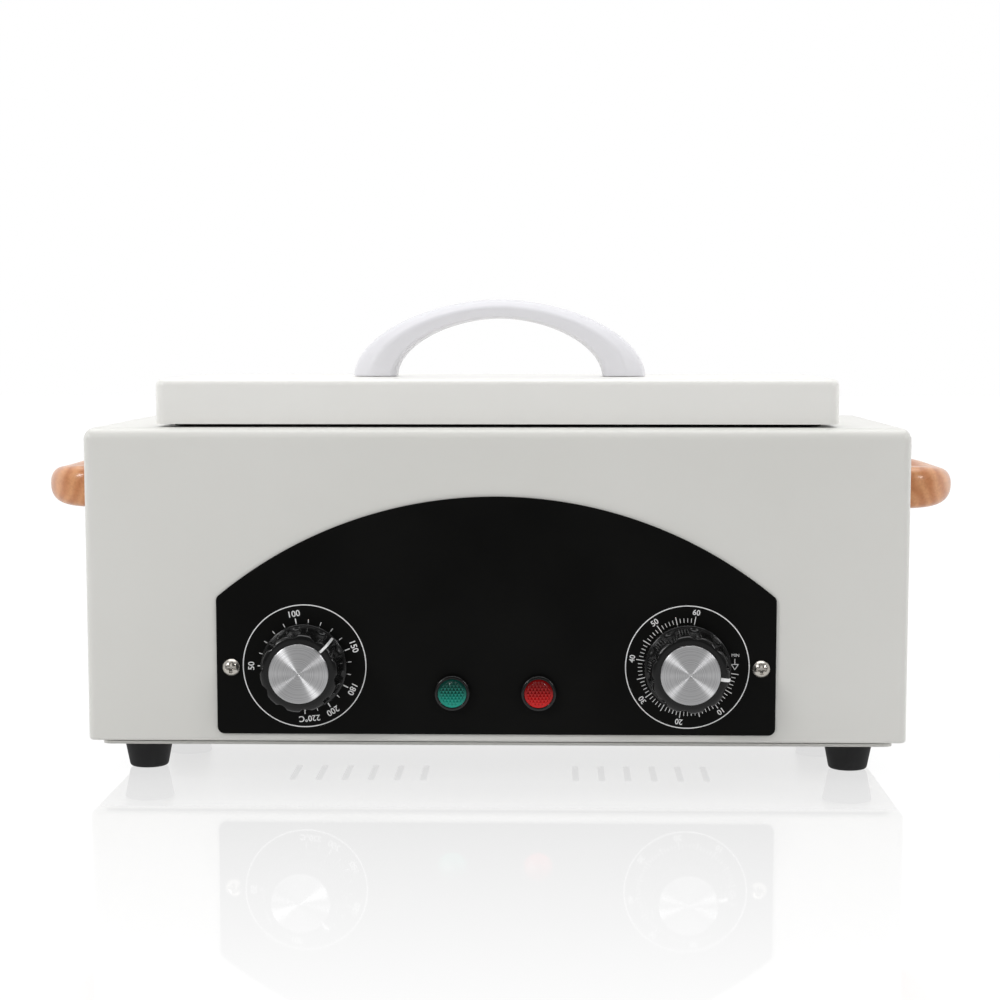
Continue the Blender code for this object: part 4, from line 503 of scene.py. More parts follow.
varnished_wood = bpy.data.materials.new("varnished_wood")
node, join = shader_tree(varnished_wood)
wood_out = node("ShaderNodeOutputMaterial")
wood_shader = node("ShaderNodeBsdfPrincipled", **{"Coat Weight": 0.35, "Coat Roughness": 0.12, "Specular IOR Level": 0.40})
wood_place = node("ShaderNodeTexCoord")
wood_lay = node("ShaderNodeMapping")
wood_lay.inputs["Location"].default_value = (0.0, 0.0, -0.035)
wood_lay.inputs["Rotation"].default_value = (0.0, 0.12, 0.05)
wood_lay.inputs["Scale"].default_value = (1.0, 0.12, 1.0)
wood_rings = node("ShaderNodeTexWave", wave_type="RINGS", rings_direction="Y", Scale=52.0, Distortion=4.0, Detail=3.0, **{"Detail Scale": 1.4})
wood_fibres = node("ShaderNodeTexNoise", Scale=900.0, Detail=4.0)
wood_shade = node("ShaderNodeValToRGB")
wood_shade.color_ramp.elements[0].color = (0.590, 0.235, 0.095, 1.0)
wood_shade.color_ramp.elements[1].color = (0.720, 0.340, 0.155, 1.0)
wood_fleck = node("ShaderNodeValToRGB")
wood_fleck.color_ramp.elements[0].position = 0.35
wood_fleck.color_ramp.elements[0].color = (0.90, 0.87, 0.84, 1.0)
wood_fleck.color_ramp.elements[1].position = 0.60
wood_colour = node("ShaderNodeMix", data_type="RGBA", blend_type="MULTIPLY")
wood_colour.inputs[0].default_value = 1.0
wood_gloss = node("ShaderNodeMapRange", **{"To Min": 0.28, "To Max": 0.42})
wood_relief = node("ShaderNodeBump", Strength=0.6, Distance=0.00004)
join(wood_place.outputs["Object"], wood_lay.inputs["Vector"])
join(wood_lay.outputs[0], wood_rings.inputs["Vector"])
join(wood_lay.outputs[0], wood_fibres.inputs["Vector"])
join(wood_rings.outputs["Fac"], wood_shade.inputs[0])
join(wood_fibres.outputs["Fac"], wood_fleck.inputs[0])
join(wood_shade.outputs["Color"], wood_colour.inputs[6])
join(wood_fleck.outputs["Color"], wood_colour.inputs[7])
join(wood_colour.outputs[2], wood_shader.inputs["Base Color"])
join(wood_fibres.outputs["Fac"], wood_gloss.inputs["Value"])
join(wood_gloss.outputs["Result"], wood_shader.inputs["Roughness"])
join(wood_fibres.outputs["Fac"], wood_relief.inputs["Height"])
join(wood_relief.outputs["Normal"], wood_shader.inputs["Normal"])
join(wood_shader.outputs[0], wood_out.inputs["Surface"])


def signed_power(value, power):
    """The value's size raised to a power, with the value's sign kept."""
    return np.sign(value) * abs(value) ** power


def bow_rings(side, stations=80, around=48):
    """Rings along a bow. Its outer and inner edge are half ovals, reach times sin^(2/p) and half length times
    cos^(2/p) of the station's angle. Each ring is an oval between both edges, squarer towards the feet. Its height
    is the bow's height times (1 - (reach here / full reach)^n)^(1/n)."""
    angle = np.pi * (1 - np.linspace(0.0, 1.0, stations))
    along, away = signed_power(np.cos(angle), 2 / BOW_POWER), abs(np.sin(angle)) ** (2 / BOW_POWER)
    outer = np.stack([side * BOW_REACH * away, BOW_LENGTH / 2 * along, 0 * away], -1)
    inner = np.stack([side * BOW_INNER_REACH * away, BOW_INNER_LENGTH / 2 * along, 0 * away], -1)
    centre, out = (outer + inner) / 2, (outer - inner) / 2
    tall = BOW_HEIGHT / 2 * (1 - abs(centre[:, 0] / BOW_REACH) ** BOW_TALL_POWER) ** (1 / BOW_TALL_POWER)
    turn = np.linspace(0.0, 2 * np.pi, around, endpoint=False)[None, :]
    share = 2 / (BOW_OVAL + BOW_SQUARER * np.cos(angle[:, None]) ** 2)
    across, up = signed_power(np.cos(turn), share), signed_power(np.sin(turn), share)
    rings = centre[:, None] + out[:, None] * across[..., None]
    rings[..., 2] += tall[:, None] * up
    return rings


for side_name, side in (("left", -1), ("right", 1)):
    low, high = (np.array(corner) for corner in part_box(f"side_handle_{side_name}"))
    wall_x = (high if side < 0 else low)[0]
    place = (wall_x, (low[1] + high[1]) / 2, (low[2] + high[2]) / 2)
    piece(f"wooden_bow_{side_name}", skin("bow", bow_rings(side) + place), varnished_wood, "base", "varnished_wood", f"side_handle_{side_name}")

# Control panel: an aluminium plate with an arched top, anodised and printed satin black, its edge turned over a
# little. Two screws hold it on the front wall. Rings, marks and numbers are screen printed in white.
black_plate = finish(
    "black_plate", (0.0042, 0.0042, 0.0038), (0.0030, 0.0030, 0.0027), (0.42, 0.52), 25.0, 2500.0, lift=0.000006,
    **{"Specular IOR Level": 0.10},
)
PANEL_HALF, PANEL_HEIGHT, PANEL_SHOULDER = 0.119, 0.1018, 0.0586
PANEL_CORNER, PANEL_THICKNESS, PANEL_EDGE = 0.0030, 0.0010, 0.0004
panel_low, panel_high = (np.array(corner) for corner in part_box("control_panel"))
PANEL_FRONT_Y, PANEL_BACK_Y = panel_low[1], panel_high[1]


def panel_ring(inset, y):
    """The panel's edge, drawn in by an inset: five arcs about fixed centres, each with its radius less the inset.
    The arch's radius is (half width^2 + sagitta^2) / twice the sagitta."""
    sagitta = PANEL_HEIGHT - PANEL_SHOULDER
    arch = (PANEL_HALF**2 + sagitta**2) / (2 * sagitta)
    arch_z = PANEL_HEIGHT - arch
    side_x = PANEL_HALF - PANEL_CORNER
    side_z = arch_z + np.sqrt((arch - PANEL_CORNER) ** 2 - side_x**2)
    shoulder = np.degrees(np.arctan2(side_z - arch_z, side_x))
    arcs = [(side_x, PANEL_CORNER, PANEL_CORNER, -90, 0, 8), (side_x, side_z, PANEL_CORNER, 0, shoulder, 8)]
    arcs += [(0.0, arch_z, arch, shoulder, 180 - shoulder, 96)]
    arcs += [(-side_x, side_z, PANEL_CORNER, 180 - shoulder, 180, 8), (-side_x, PANEL_CORNER, PANEL_CORNER, 180, 270, 8)]
    rings = []
    for x, z, radius, first, last, steps in arcs:
        angle = np.radians(np.linspace(first, last, steps + 1))
        rings.append(np.stack([x + (radius - inset) * np.cos(angle), np.full(steps + 1, y), z + (radius - inset) * np.sin(angle)], -1))
    return np.concatenate(rings) + (0.0, 0.0, PANEL_BOTTOM_Z)


edge_inset, edge_rise = quarter_bend(PANEL_EDGE, steps=3)
panel_rings = [panel_ring(0.0, PANEL_BACK_Y)]
panel_rings += [panel_ring(i, PANEL_FRONT_Y + PANEL_EDGE - r) for i, r in zip(edge_inset, edge_rise)]
panel_tools = []
through_panel = (PANEL_FRONT_Y - PUNCH_OVERRUN, PANEL_BACK_Y + PUNCH_OVERRUN)
for side in (-1, 1):
    panel_tools.append(front_rod(0.0050, side * KNOB_X, KNOB_Z, *through_panel))
    panel_tools.append(front_rod(0.0067, side * LAMP_X, LAMP_Z, *through_panel))
    panel_tools.append(front_rod(0.0023, side * PANEL_SCREW_X, PANEL_SCREW_Z, *through_panel))
piece("printed_panel", punched(skin("panel", panel_rings), panel_tools), black_plate, "base", "black_plate", "control_panel")

white_ink = finish(
    "white_ink", (0.94, 0.94, 0.94), (0.88, 0.88, 0.88), (0.45, 0.60), 400.0, 3000.0, lift=0.000004
)
INK_THICKNESS = 0.00004
INK_LIFT = 0.00001
DIAL_RADIUS = 0.0262
RING_LINE_WIDTH = 0.00042


def ink_band(radius, width, steps=180):
    """A printed circle: a flat band of that width, as thick as the ink, carried round the dial's centre."""
    inner, outer = radius - width / 2, radius + width / 2
    return skin("band", turned([(inner, 0.0), (outer, 0.0), (outer, INK_THICKNESS), (inner, INK_THICKNESS)], steps), loop=True)


def ink_bars(ends, width):
    """Printed straight bars. Each row of ends is (x0, z0, x1, z1), and a bar's corners lie half a width to both
    sides of its line, at the panel and at the ink's thickness."""
    first, last = np.asarray(ends, float)[:, :2], np.asarray(ends, float)[:, 2:]
    way = (last - first) / np.linalg.norm(last - first, axis=1, keepdims=True)
    side = way[:, ::-1] * (-1, 1) * width / 2
    flat = np.stack([first - side, last - side, last + side, first + side], 1)
    bars = []
    for corners in flat:
        bars.append(skin("bar", [np.column_stack([corners, np.full(4, t)]) for t in (0.0, INK_THICKNESS)]))
    return gathered("bars", bars)


def ink_text(words, cap_height, x, z, turn_deg, bold=0.012):
    """Printed words: Blender's own letters, thickened a little, scaled to the height, centred, turned and placed."""
    curve = bpy.data.curves.new("words", "FONT")
    curve.body = words
    curve.size = 1.0
    curve.offset = bold
    curve.resolution_u = 4
    curve.extrude = 0.5
    work = bpy.data.objects.new("words", curve)
    scene.collection.objects.link(work)
    bpy.context.view_layer.update()
    mesh = bpy.data.meshes.new_from_object(work.evaluated_get(bpy.context.evaluated_depsgraph_get()))
    bpy.data.objects.remove(work, do_unlink=True)
    points = np.empty(len(mesh.vertices) * 3)
    mesh.vertices.foreach_get("co", points)
    points = points.reshape(-1, 3)
    low, high = points.min(0), points.max(0)
    size = cap_height / (high - low)[1]
    flat = (points - (low + high) / 2)[:, :2] * size
    angle = np.radians(turn_deg)
    turned_flat = flat @ np.array([[np.cos(angle), np.sin(angle)], [-np.sin(angle), np.cos(angle)]])
    thick = (points[:, 2] > 0) * INK_THICKNESS
    mesh.vertices.foreach_set("co", np.column_stack([turned_flat + (x, z), thick]).ravel())
    bm = bmesh.new()
    bm.from_mesh(mesh)
    bmesh.ops.remove_doubles(bm, verts=bm.verts, dist=0.000001)
    bmesh.ops.recalc_face_normals(bm, faces=bm.faces)
    bm.to_mesh(mesh)
    bm.free()
    return mesh


def around_dial(angle_deg, share):
    """A point at an angle, anticlockwise from the right, and at a share of the dial's radius."""
    angle = np.radians(angle_deg)
    return DIAL_RADIUS * share * np.cos(angle), DIAL_RADIUS * share * np.sin(angle)


def dial_marks(angles, inner_share, outer_share, width):
    """Radial marks at the angles, from the inner to the outer share of the dial's radius."""
    return ink_bars(np.column_stack([*around_dial(angles, inner_share), *around_dial(angles, outer_share)]), width)


def print_on_panel(name, meshes, x, z):
    """Joins printed meshes, stands them upright on the panel's front and places them."""
    mesh = gathered(name, meshes)
    points = np.empty(len(mesh.vertices) * 3)
    mesh.vertices.foreach_get("co", points)
    points = points.reshape(-1, 3)
    placed = np.stack([points[:, 0] + x, PANEL_FRONT_Y - INK_LIFT - points[:, 2], points[:, 1] + z], -1)
    mesh.vertices.foreach_set("co", placed.ravel())
    mesh.update()
    return piece(name, mesh, white_ink, "base", "white_plastic")


def temperature_angle(celsius):
    """Where a temperature lies on its dial: 50 at the left, and 270 degrees clockwise for the next 170 degrees C."""
    return 180 - (np.asarray(celsius, float) - 50) * 270 / 170


named_marks = np.array([100, 150, 180, 200, 220])
plain_marks = np.setdiff1d(np.arange(60, 221, 10), named_marks)
temperature_print = [ink_band(DIAL_RADIUS, RING_LINE_WIDTH)]
temperature_print.append(dial_marks(temperature_angle(named_marks), 0.705, 0.790, 0.0005))
temperature_print.append(dial_marks(temperature_angle([50]), 0.725, 0.765, 0.0005))
temperature_print.append(dial_marks(temperature_angle(plain_marks), 0.710, 0.768, 0.0003))
for celsius, words in ((50, "50"), (100, "100"), (150, "150"), (180, "180"), (200, "200"), (220, "220°C")):
    label_angle = float(temperature_angle(celsius)) + (5.0 if celsius == 220 else 0.0)
    x, z = around_dial(label_angle, 0.870)
    temperature_print.append(ink_text(words, 0.0027, x, z, label_angle - 90))
print_on_panel("temperature_scale_print", temperature_print, -KNOB_X, KNOB_Z)

TIMER_ZERO_DEG, TIMER_SWEEP_DEG, TIMER_MINUTES = -8.0, 271.0, 60


def timer_angle(minutes):
    """Where a number of minutes lies on its dial, clockwise from the zero mark."""
    return TIMER_ZERO_DEG - np.asarray(minutes, float) * TIMER_SWEEP_DEG / TIMER_MINUTES


long_marks = np.arange(0, TIMER_MINUTES + 1, 5)
short_marks = np.setdiff1d(np.arange(1, TIMER_MINUTES), long_marks)
timer_print = [ink_band(DIAL_RADIUS, RING_LINE_WIDTH)]
timer_print.append(dial_marks(timer_angle(long_marks), 0.705, 0.838, 0.00034))
timer_print.append(dial_marks(timer_angle(short_marks), 0.730, 0.800, 0.00027))
for minutes in range(10, TIMER_MINUTES + 1, 10):
    label_angle = float(timer_angle(minutes))
    x, z = around_dial(label_angle, 0.905)
    timer_print.append(ink_text(str(minutes), 0.0024, x, z, label_angle - 90))
timer_print.append(ink_text("MIN", 0.0013, 0.0203, 0.0052, 0.0, 0.0))
timer_print.append(
    ink_bars(
        [
            (0.0201, 0.0037, 0.0201, 0.0014),
            (0.0187, 0.0013, 0.0216, 0.0013),
            (0.0187, 0.0013, 0.0201, -0.0010),
            (0.0216, 0.0013, 0.0201, -0.0010),
        ],
        0.0003,
    )
)
print_on_panel("timer_scale_print", timer_print, KNOB_X, KNOB_Z)

# Thermostat and clockwork timer: a phenolic block with its bulb switch and a pressed nickel-plated case. Both are
# held behind the front wall by the bushes on their fronts, and their flatted shafts pass through wall and panel.
brown_phenolic = finish(
    "brown_phenolic", (0.17, 0.075, 0.035), (0.12, 0.052, 0.024), (0.38, 0.52), 120.0, 2600.0, lift=0.00001
)
dress(brown_phenolic, "thermostat")
dress(nickel, "timer", "temperature_shaft", "timer_shaft")

# Control knobs: moulded glossy black, with a thin skirt, ten finger flutes round a slightly tapered grip and a
# bore that is flat on one side. A white line on the grip's lobe points at the scale.
black_plastic = finish(
    "black_plastic", (0.0065, 0.0065, 0.0065), (0.0050, 0.0050, 0.0050), (0.16, 0.24), 90.0, 1800.0, lift=0.000006,
    **{"Specular IOR Level": 0.45},
)
KNOB_LIFT, KNOB_HEIGHT = 0.0020, 0.0202
SKIRT_RADIUS, SKIRT_HEIGHT, SKIRT_EDGE = 0.0184, 0.0022, 0.0010
WAIST_RADIUS, GRIP_RADIUS, SHOULDER = 0.0174, 0.0164, 0.0022
FLUTES, FLUTE_RADIUS, FLUTE_DEPTH, FLUTE_RUN = 10, 0.0034, 0.0013, 0.0016
BORE_RADIUS, BORE_FLAT, BORE_DEPTH = 0.0033, 0.0018, 0.0130
TEMPERATURE_POINTER_DEG, TIMER_POINTER_DEG = 45.0, -8.0


def knob_profile():
    """The grip's (radius, height) line from the bore's end over skirt, flank and shoulder to the top's middle."""
    corners = [(BORE_RADIUS, 0.0), (SKIRT_RADIUS, 0.0), (SKIRT_RADIUS, SKIRT_HEIGHT), (WAIST_RADIUS, SKIRT_HEIGHT + 0.0001)]
    corners += [(GRIP_RADIUS, KNOB_HEIGHT), (0.0, KNOB_HEIGHT)]
    line = eased(corners, (0.0002, SKIRT_EDGE, 0.0003, SHOULDER), 8)
    flank = line[-11] + (line[-10] - line[-11]) * (np.linspace(0.0, 1.0, 36) ** 2.2)[1:-1, None]
    return np.concatenate([line[:-10], flank, line[-10:]])


def knob_rings(pointer_deg, around=240):
    """Rings of a grip. A flute is a round groove: at an angle a from its middle, its wall lies at
    c cos a - root(R^2 - (c sin a)^2) from the knob's axis, c being where the groove's own axis stands. The grip
    takes the smaller of that and the profile's radius, with the corner between them rounded, and the groove's axis
    moves outwards near the skirt, so that the flute runs out. The bore's wall is the smaller of its radius and
    its flat's distance over cos a."""
    radius, rise = knob_profile().T
    angle = np.linspace(0.0, 2 * np.pi, around, endpoint=False)
    pitch = 2 * np.pi / FLUTES
    off = (angle - np.radians(pointer_deg)) % pitch - pitch / 2
    flank = WAIST_RADIUS + (GRIP_RADIUS - WAIST_RADIUS) * (rise - SKIRT_HEIGHT) / (KNOB_HEIGHT - SKIRT_HEIGHT)
    run = np.clip((rise - SKIRT_HEIGHT) / FLUTE_RUN, 0.0, 1.0)
    run = 1 - (1 - run) ** 2
    centre = (flank - FLUTE_DEPTH * run + FLUTE_RADIUS + 0.0004 * (1 - run))[:, None]
    inside = FLUTE_RADIUS**2 - (centre * np.sin(off)) ** 2
    groove = np.where(inside > 0, centre * np.cos(off) - np.sqrt(inside.clip(0.0)), 1.0)
    wide = np.broadcast_to(radius[:, None], groove.shape)
    blend = np.clip(0.5 + (groove - wide) / 0.0008, 0.0, 1.0)
    soft = groove * (1 - blend) + wide * blend - 0.0004 * blend * (1 - blend)
    grip = np.where((rise > SKIRT_HEIGHT)[:, None] & (groove < 0.5), np.minimum(soft, wide), wide)
    outside = np.stack([grip * np.cos(angle), grip * np.sin(angle), np.broadcast_to(rise[:, None], grip.shape)], -1)
    bore = np.minimum(BORE_RADIUS, BORE_FLAT / np.cos(angle).clip(0.001))
    hollow = [[bore * s * np.cos(angle), bore * s * np.sin(angle), 0 * angle + z] for s, z in ((0, BORE_DEPTH), (1, BORE_DEPTH), (1, 0.0))]
    return np.concatenate([np.moveaxis(np.array(hollow), 1, -1), outside[1:]])


def pointer_line_rings(pointer_deg, last_share, width):
    """A white strip along a lobe: the profile's line from the cap's edge down to a share of its length, lifted by
    the strip's thickness, half its width to both sides."""
    line = knob_profile()[::-1]
    radius = np.concatenate([[0.0127], line[:, 0][line[:, 0] < 0.0127 - 1][:0], line[1:-1, 0]])
    rise = np.concatenate([[KNOB_HEIGHT], line[1:-1, 1]])
    keep = (radius >= 0.0126) & (rise > SKIRT_HEIGHT + 0.0002)
    path = np.stack([radius[keep], rise[keep]], -1)
    length = np.concatenate([[0.0], np.cumsum(np.linalg.norm(np.diff(path, axis=0), axis=1))])
    even = np.linspace(0.0, length[-1] * last_share, 40)
    path = np.stack([np.interp(even, length, path[:, i]) for i in (0, 1)], -1)
    way = np.gradient(path, axis=0)
    away = way[:, ::-1] * (-1, 1) / np.linalg.norm(way, axis=1, keepdims=True)
    away *= np.sign((away * (path - (0.0, KNOB_HEIGHT / 2))).sum(1, keepdims=True))
    low, high = path + away * 0.00003, path + away * 0.00030
    half = width / 2
    section = [(low, -half), (high, -half + 0.0001), (high, half - 0.0001), (low, half)]
    ring = np.stack([np.stack([p[:, 0], np.full(len(p), s), p[:, 1]], -1) for p, s in section], 1)
    angle = np.radians(pointer_deg)
    turn = np.array([[np.cos(angle), np.sin(angle), 0], [-np.sin(angle), np.cos(angle), 0], [0, 0, 1]])
    return ring @ turn


def out_to_front(points, x, y, z):
    """Turns a piece drawn with its axis up so that the axis points to the viewer in front, then places it."""
    return np.stack([points[..., 0] + x, y - points[..., 2], points[..., 1] + z], -1)


KNOB_BASE_Y = PANEL_FRONT_Y - KNOB_LIFT
for kind, side, pointer, share, width in (
    ("temperature", -1, TEMPERATURE_POINTER_DEG, 1.0, 0.0011),
    ("timer", 1, TIMER_POINTER_DEG, 0.24, 0.00150),
):
    at = (side * KNOB_X, KNOB_BASE_Y, KNOB_Z)
    grip_mesh = skin("grip", out_to_front(knob_rings(pointer), *at))
    piece(f"{kind}_grip", grip_mesh, black_plastic, f"{kind}_knob", "black_plastic", f"{kind}_knob")
    line_mesh = skin("line", out_to_front(pointer_line_rings(pointer, share, width), *at))
    piece(f"{kind}_pointer_line", line_mesh, white_ink, f"{kind}_knob", "white_plastic")

# Knob caps: discs of aluminium faced on a lathe. The tool leaves fine rings, so lamps show as bright fans on them.
# Each is pressed into the top of its knob.
CAP_RADIUS, CAP_THICKNESS, CAP_EDGE = 0.0124, 0.0012, 0.0004
spun_aluminium = bpy.data.materials.new("spun_aluminium")
node, join = shader_tree(spun_aluminium)
cap_out = node("ShaderNodeOutputMaterial")
cap_shader = node("ShaderNodeBsdfPrincipled", Metallic=1.0, Anisotropic=1.0)
cap_map = node("ShaderNodeUVMap", uv_map="lathe")
cap_axes = node("ShaderNodeSeparateXYZ")
cap_tangent = node("ShaderNodeTangent", direction_type="UV_MAP", uv_map="lathe")
cap_rings = node("ShaderNodeTexNoise", noise_dimensions="1D", Scale=1.0, Detail=2.0)
cap_pitch = node("ShaderNodeMath", operation="MULTIPLY")
cap_pitch.inputs[1].default_value = 2600.0
cap_shade = node("ShaderNodeValToRGB")
cap_shade.color_ramp.elements[0].position = 0.3
cap_shade.color_ramp.elements[0].color = (0.66, 0.66, 0.67, 1.0)
cap_shade.color_ramp.elements[1].position = 0.7
cap_shade.color_ramp.elements[1].color = (0.96, 0.96, 0.97, 1.0)
cap_gloss = node("ShaderNodeMapRange", **{"To Min": 0.34, "To Max": 0.43})
cap_relief = node("ShaderNodeBump", Strength=0.2, Distance=0.000010)
join(cap_map.outputs[0], cap_axes.inputs[0])
join(cap_axes.outputs["X"], cap_pitch.inputs[0])
join(cap_pitch.outputs[0], cap_rings.inputs["W"])
join(cap_rings.outputs["Fac"], cap_shade.inputs[0])
join(cap_rings.outputs["Fac"], cap_gloss.inputs["Value"])
join(cap_rings.outputs["Fac"], cap_relief.inputs["Height"])
join(cap_tangent.outputs[0], cap_shader.inputs["Tangent"])
join(cap_shade.outputs["Color"], cap_shader.inputs["Base Color"])
join(cap_gloss.outputs["Result"], cap_shader.inputs["Roughness"])
join(cap_relief.outputs["Normal"], cap_shader.inputs["Normal"])
join(cap_shader.outputs[0], cap_out.inputs["Surface"])


def lathe_map(mesh, x, z):
    """A UV map for a disc that faces the front: across is the distance from the middle in metres, and up is the
    angle round it as a share of a turn, kept within half a turn of each face's own angle."""
    points = np.empty(len(mesh.vertices) * 3)
    mesh.vertices.foreach_get("co", points)
    points = points.reshape(-1, 3)[:, [0, 2]] - (x, z)
    corner = np.empty(len(mesh.loops), int)
    mesh.loops.foreach_get("vertex_index", corner)
    count = np.empty(len(mesh.polygons), int)
    mesh.polygons.foreach_get("loop_total", count)
    face = np.repeat(np.arange(len(count)), count)
    middle = np.stack([np.bincount(face, points[corner, i]) / count for i in (0, 1)], -1)
    face_angle = np.arctan2(middle[:, 1], middle[:, 0])[face]
    angle = np.arctan2(points[:, 1], points[:, 0])[corner]
    radius = np.linalg.norm(points, axis=1)[corner]
    angle = np.where(radius < 0.00001, face_angle, angle)
    angle = face_angle + (angle - face_angle + np.pi) % (2 * np.pi) - np.pi
    layer = mesh.uv_layers.new(name="lathe")
    layer.data.foreach_set("uv", np.column_stack([radius, angle / (2 * np.pi)]).ravel())


for kind, side in (("temperature", -1), ("timer", 1)):
    low, high = (np.array(corner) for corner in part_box(f"{kind}_knob_cap"))
    corners = [(0.0, 0.0), (CAP_RADIUS, 0.0), (CAP_RADIUS, CAP_THICKNESS), (0.0007, CAP_THICKNESS), (0.0, CAP_THICKNESS - 0.0004)]
    line = eased(corners, (0.0002, CAP_EDGE, 0.0002), 4)
    face = np.linspace(line[10], line[11], 14)[1:-1]
    line = np.concatenate([line[:11], face, line[11:]])
    cap_mesh = skin("cap", out_to_front(turned(line, 120), side * KNOB_X, high[1], KNOB_Z))
    lathe_map(cap_mesh, side * KNOB_X, KNOB_Z)
    piece(f"{kind}_spun_cap", cap_mesh, spun_aluminium, f"{kind}_knob", "spun_aluminium", f"{kind}_knob_cap")

# Pilot lamps: a black bezel with a coloured acrylic lens, moulded with small diamond facets that break up the glow
# lamp's light behind it. Here that glow and the facets' glints are painted into the lens's colour as painted light. A
# flat nut holds each one from inside the front wall.
BEZEL_RADIUS, BEZEL_HEIGHT, BEZEL_EDGE = 0.0076, 0.0028, 0.0011
RIM_RADIUS, RIM_DEPTH, BARREL_RADIUS, BARREL_LENGTH = 0.0062, 0.0020, 0.0064, 0.0160
BARREL_BORE, LENS_STEM = 0.0055, 0.0100
LENS_RADIUS, LENS_DOME = 0.0061, 0.0006
FACET_WIDTH, FACET_HEIGHT, FACET_DEPTH, FACET_FIELD = 0.0015, 0.0025, 0.00024, 0.0053


def lens_rings(steps=288):
    """Rings of a lens. Its face rises as a shallow dome, 1 - (radius / edge)^2, and carries diamond pyramids: the
    smaller of two folded ramps along the two diagonals, faded out beyond the facets' field."""
    radius = np.linspace(0.0, LENS_RADIUS - 0.0001, 110)
    angle = np.linspace(0.0, 2 * np.pi, steps, endpoint=False)
    x, y = radius[:, None] * np.cos(angle), radius[:, None] * np.sin(angle)
    ramps = [abs((x / FACET_WIDTH + s * y / FACET_HEIGHT) % 1.0 - 0.5) * 2 for s in (1, -1)]
    field = np.clip((FACET_FIELD - radius[:, None]) / 0.0002, 0.0, 1.0)
    face = BEZEL_HEIGHT - FACET_DEPTH / 2 + LENS_DOME * (1 - (radius[:, None] / LENS_RADIUS) ** 2)
    face = face + FACET_DEPTH * np.minimum(*ramps) * field
    front = np.stack([x, y, face], -1)
    seat = BEZEL_HEIGHT - RIM_DEPTH + 0.0003
    back = [(LENS_RADIUS, BEZEL_HEIGHT - FACET_DEPTH), (LENS_RADIUS, seat), (BARREL_BORE - 0.0003, seat)]
    back += [(BARREL_BORE - 0.0003, -LENS_STEM), (0.0, -LENS_STEM)]
    return np.concatenate([front, turned(back, steps)])


def acrylic(name, upper, lower):
    """A coloured plastic carrying painted light. Its colour is darkened as painted shade towards the lens's upper edge
    and lightened as a painted glow towards its lower one. Facets that face down are lightened again as painted glints.
    A fine noise breaks up both the colour and the gloss."""
    made = bpy.data.materials.new(name)
    node, join = shader_tree(made)
    out = node("ShaderNodeOutputMaterial")
    shader = node("ShaderNodeBsdfPrincipled", **{"Coat Weight": 0.2, "Coat Roughness": 0.05, "Specular IOR Level": 0.30})
    place = node("ShaderNodeTexCoord")
    axes = node("ShaderNodeSeparateXYZ")
    # painted glow: the colour runs from the darker upper shade at the lens's top to the lighter lower one at its bottom
    height = node("ShaderNodeMapRange", **{"From Min": LAMP_Z + LENS_RADIUS, "From Max": LAMP_Z - LENS_RADIUS, "To Max": 0.7})
    slope = node("ShaderNodeNewGeometry")
    slope_axes = node("ShaderNodeSeparateXYZ")
    # painted glints: facets whose normals face down get the lighter colour
    painted_glint_facets = node("ShaderNodeMapRange", **{"From Min": 0.35, "From Max": -0.40, "To Min": -0.25, "To Max": 0.45})
    total = node("ShaderNodeMath", operation="ADD")
    speckle = node("ShaderNodeTexNoise", Scale=900.0, Detail=2.0)
    blend = node("ShaderNodeMath", operation="MULTIPLY_ADD")
    blend.inputs[1].default_value = 0.20
    shade = node("ShaderNodeValToRGB")
    shade.color_ramp.elements[0].position = 0.28
    shade.color_ramp.elements[0].color = (*upper, 1.0)
    shade.color_ramp.elements[1].position = 1.00
    shade.color_ramp.elements[1].color = (*lower, 1.0)
    gloss = node("ShaderNodeMapRange", **{"To Min": 0.06, "To Max": 0.14})
    relief = node("ShaderNodeBump", Strength=0.3, Distance=0.00001)
    join(place.outputs["Object"], axes.inputs[0])
    join(place.outputs["Object"], speckle.inputs["Vector"])
    join(axes.outputs["Z"], height.inputs["Value"])
    join(speckle.outputs["Fac"], blend.inputs[0])
    join(height.outputs["Result"], blend.inputs[2])
    join(slope.outputs["Normal"], slope_axes.inputs[0])
    join(slope_axes.outputs["Z"], painted_glint_facets.inputs["Value"])
    join(painted_glint_facets.outputs["Result"], total.inputs[0])
    join(blend.outputs[0], total.inputs[1])
    join(total.outputs[0], shade.inputs[0])
    join(speckle.outputs["Fac"], gloss.inputs["Value"])
    join(speckle.outputs["Fac"], relief.inputs["Height"])
    join(shade.outputs["Color"], shader.inputs["Base Color"])
    join(gloss.outputs["Result"], shader.inputs["Roughness"])
    join(relief.outputs["Normal"], shader.inputs["Normal"])
    join(shader.outputs[0], out.inputs["Surface"])
    return made
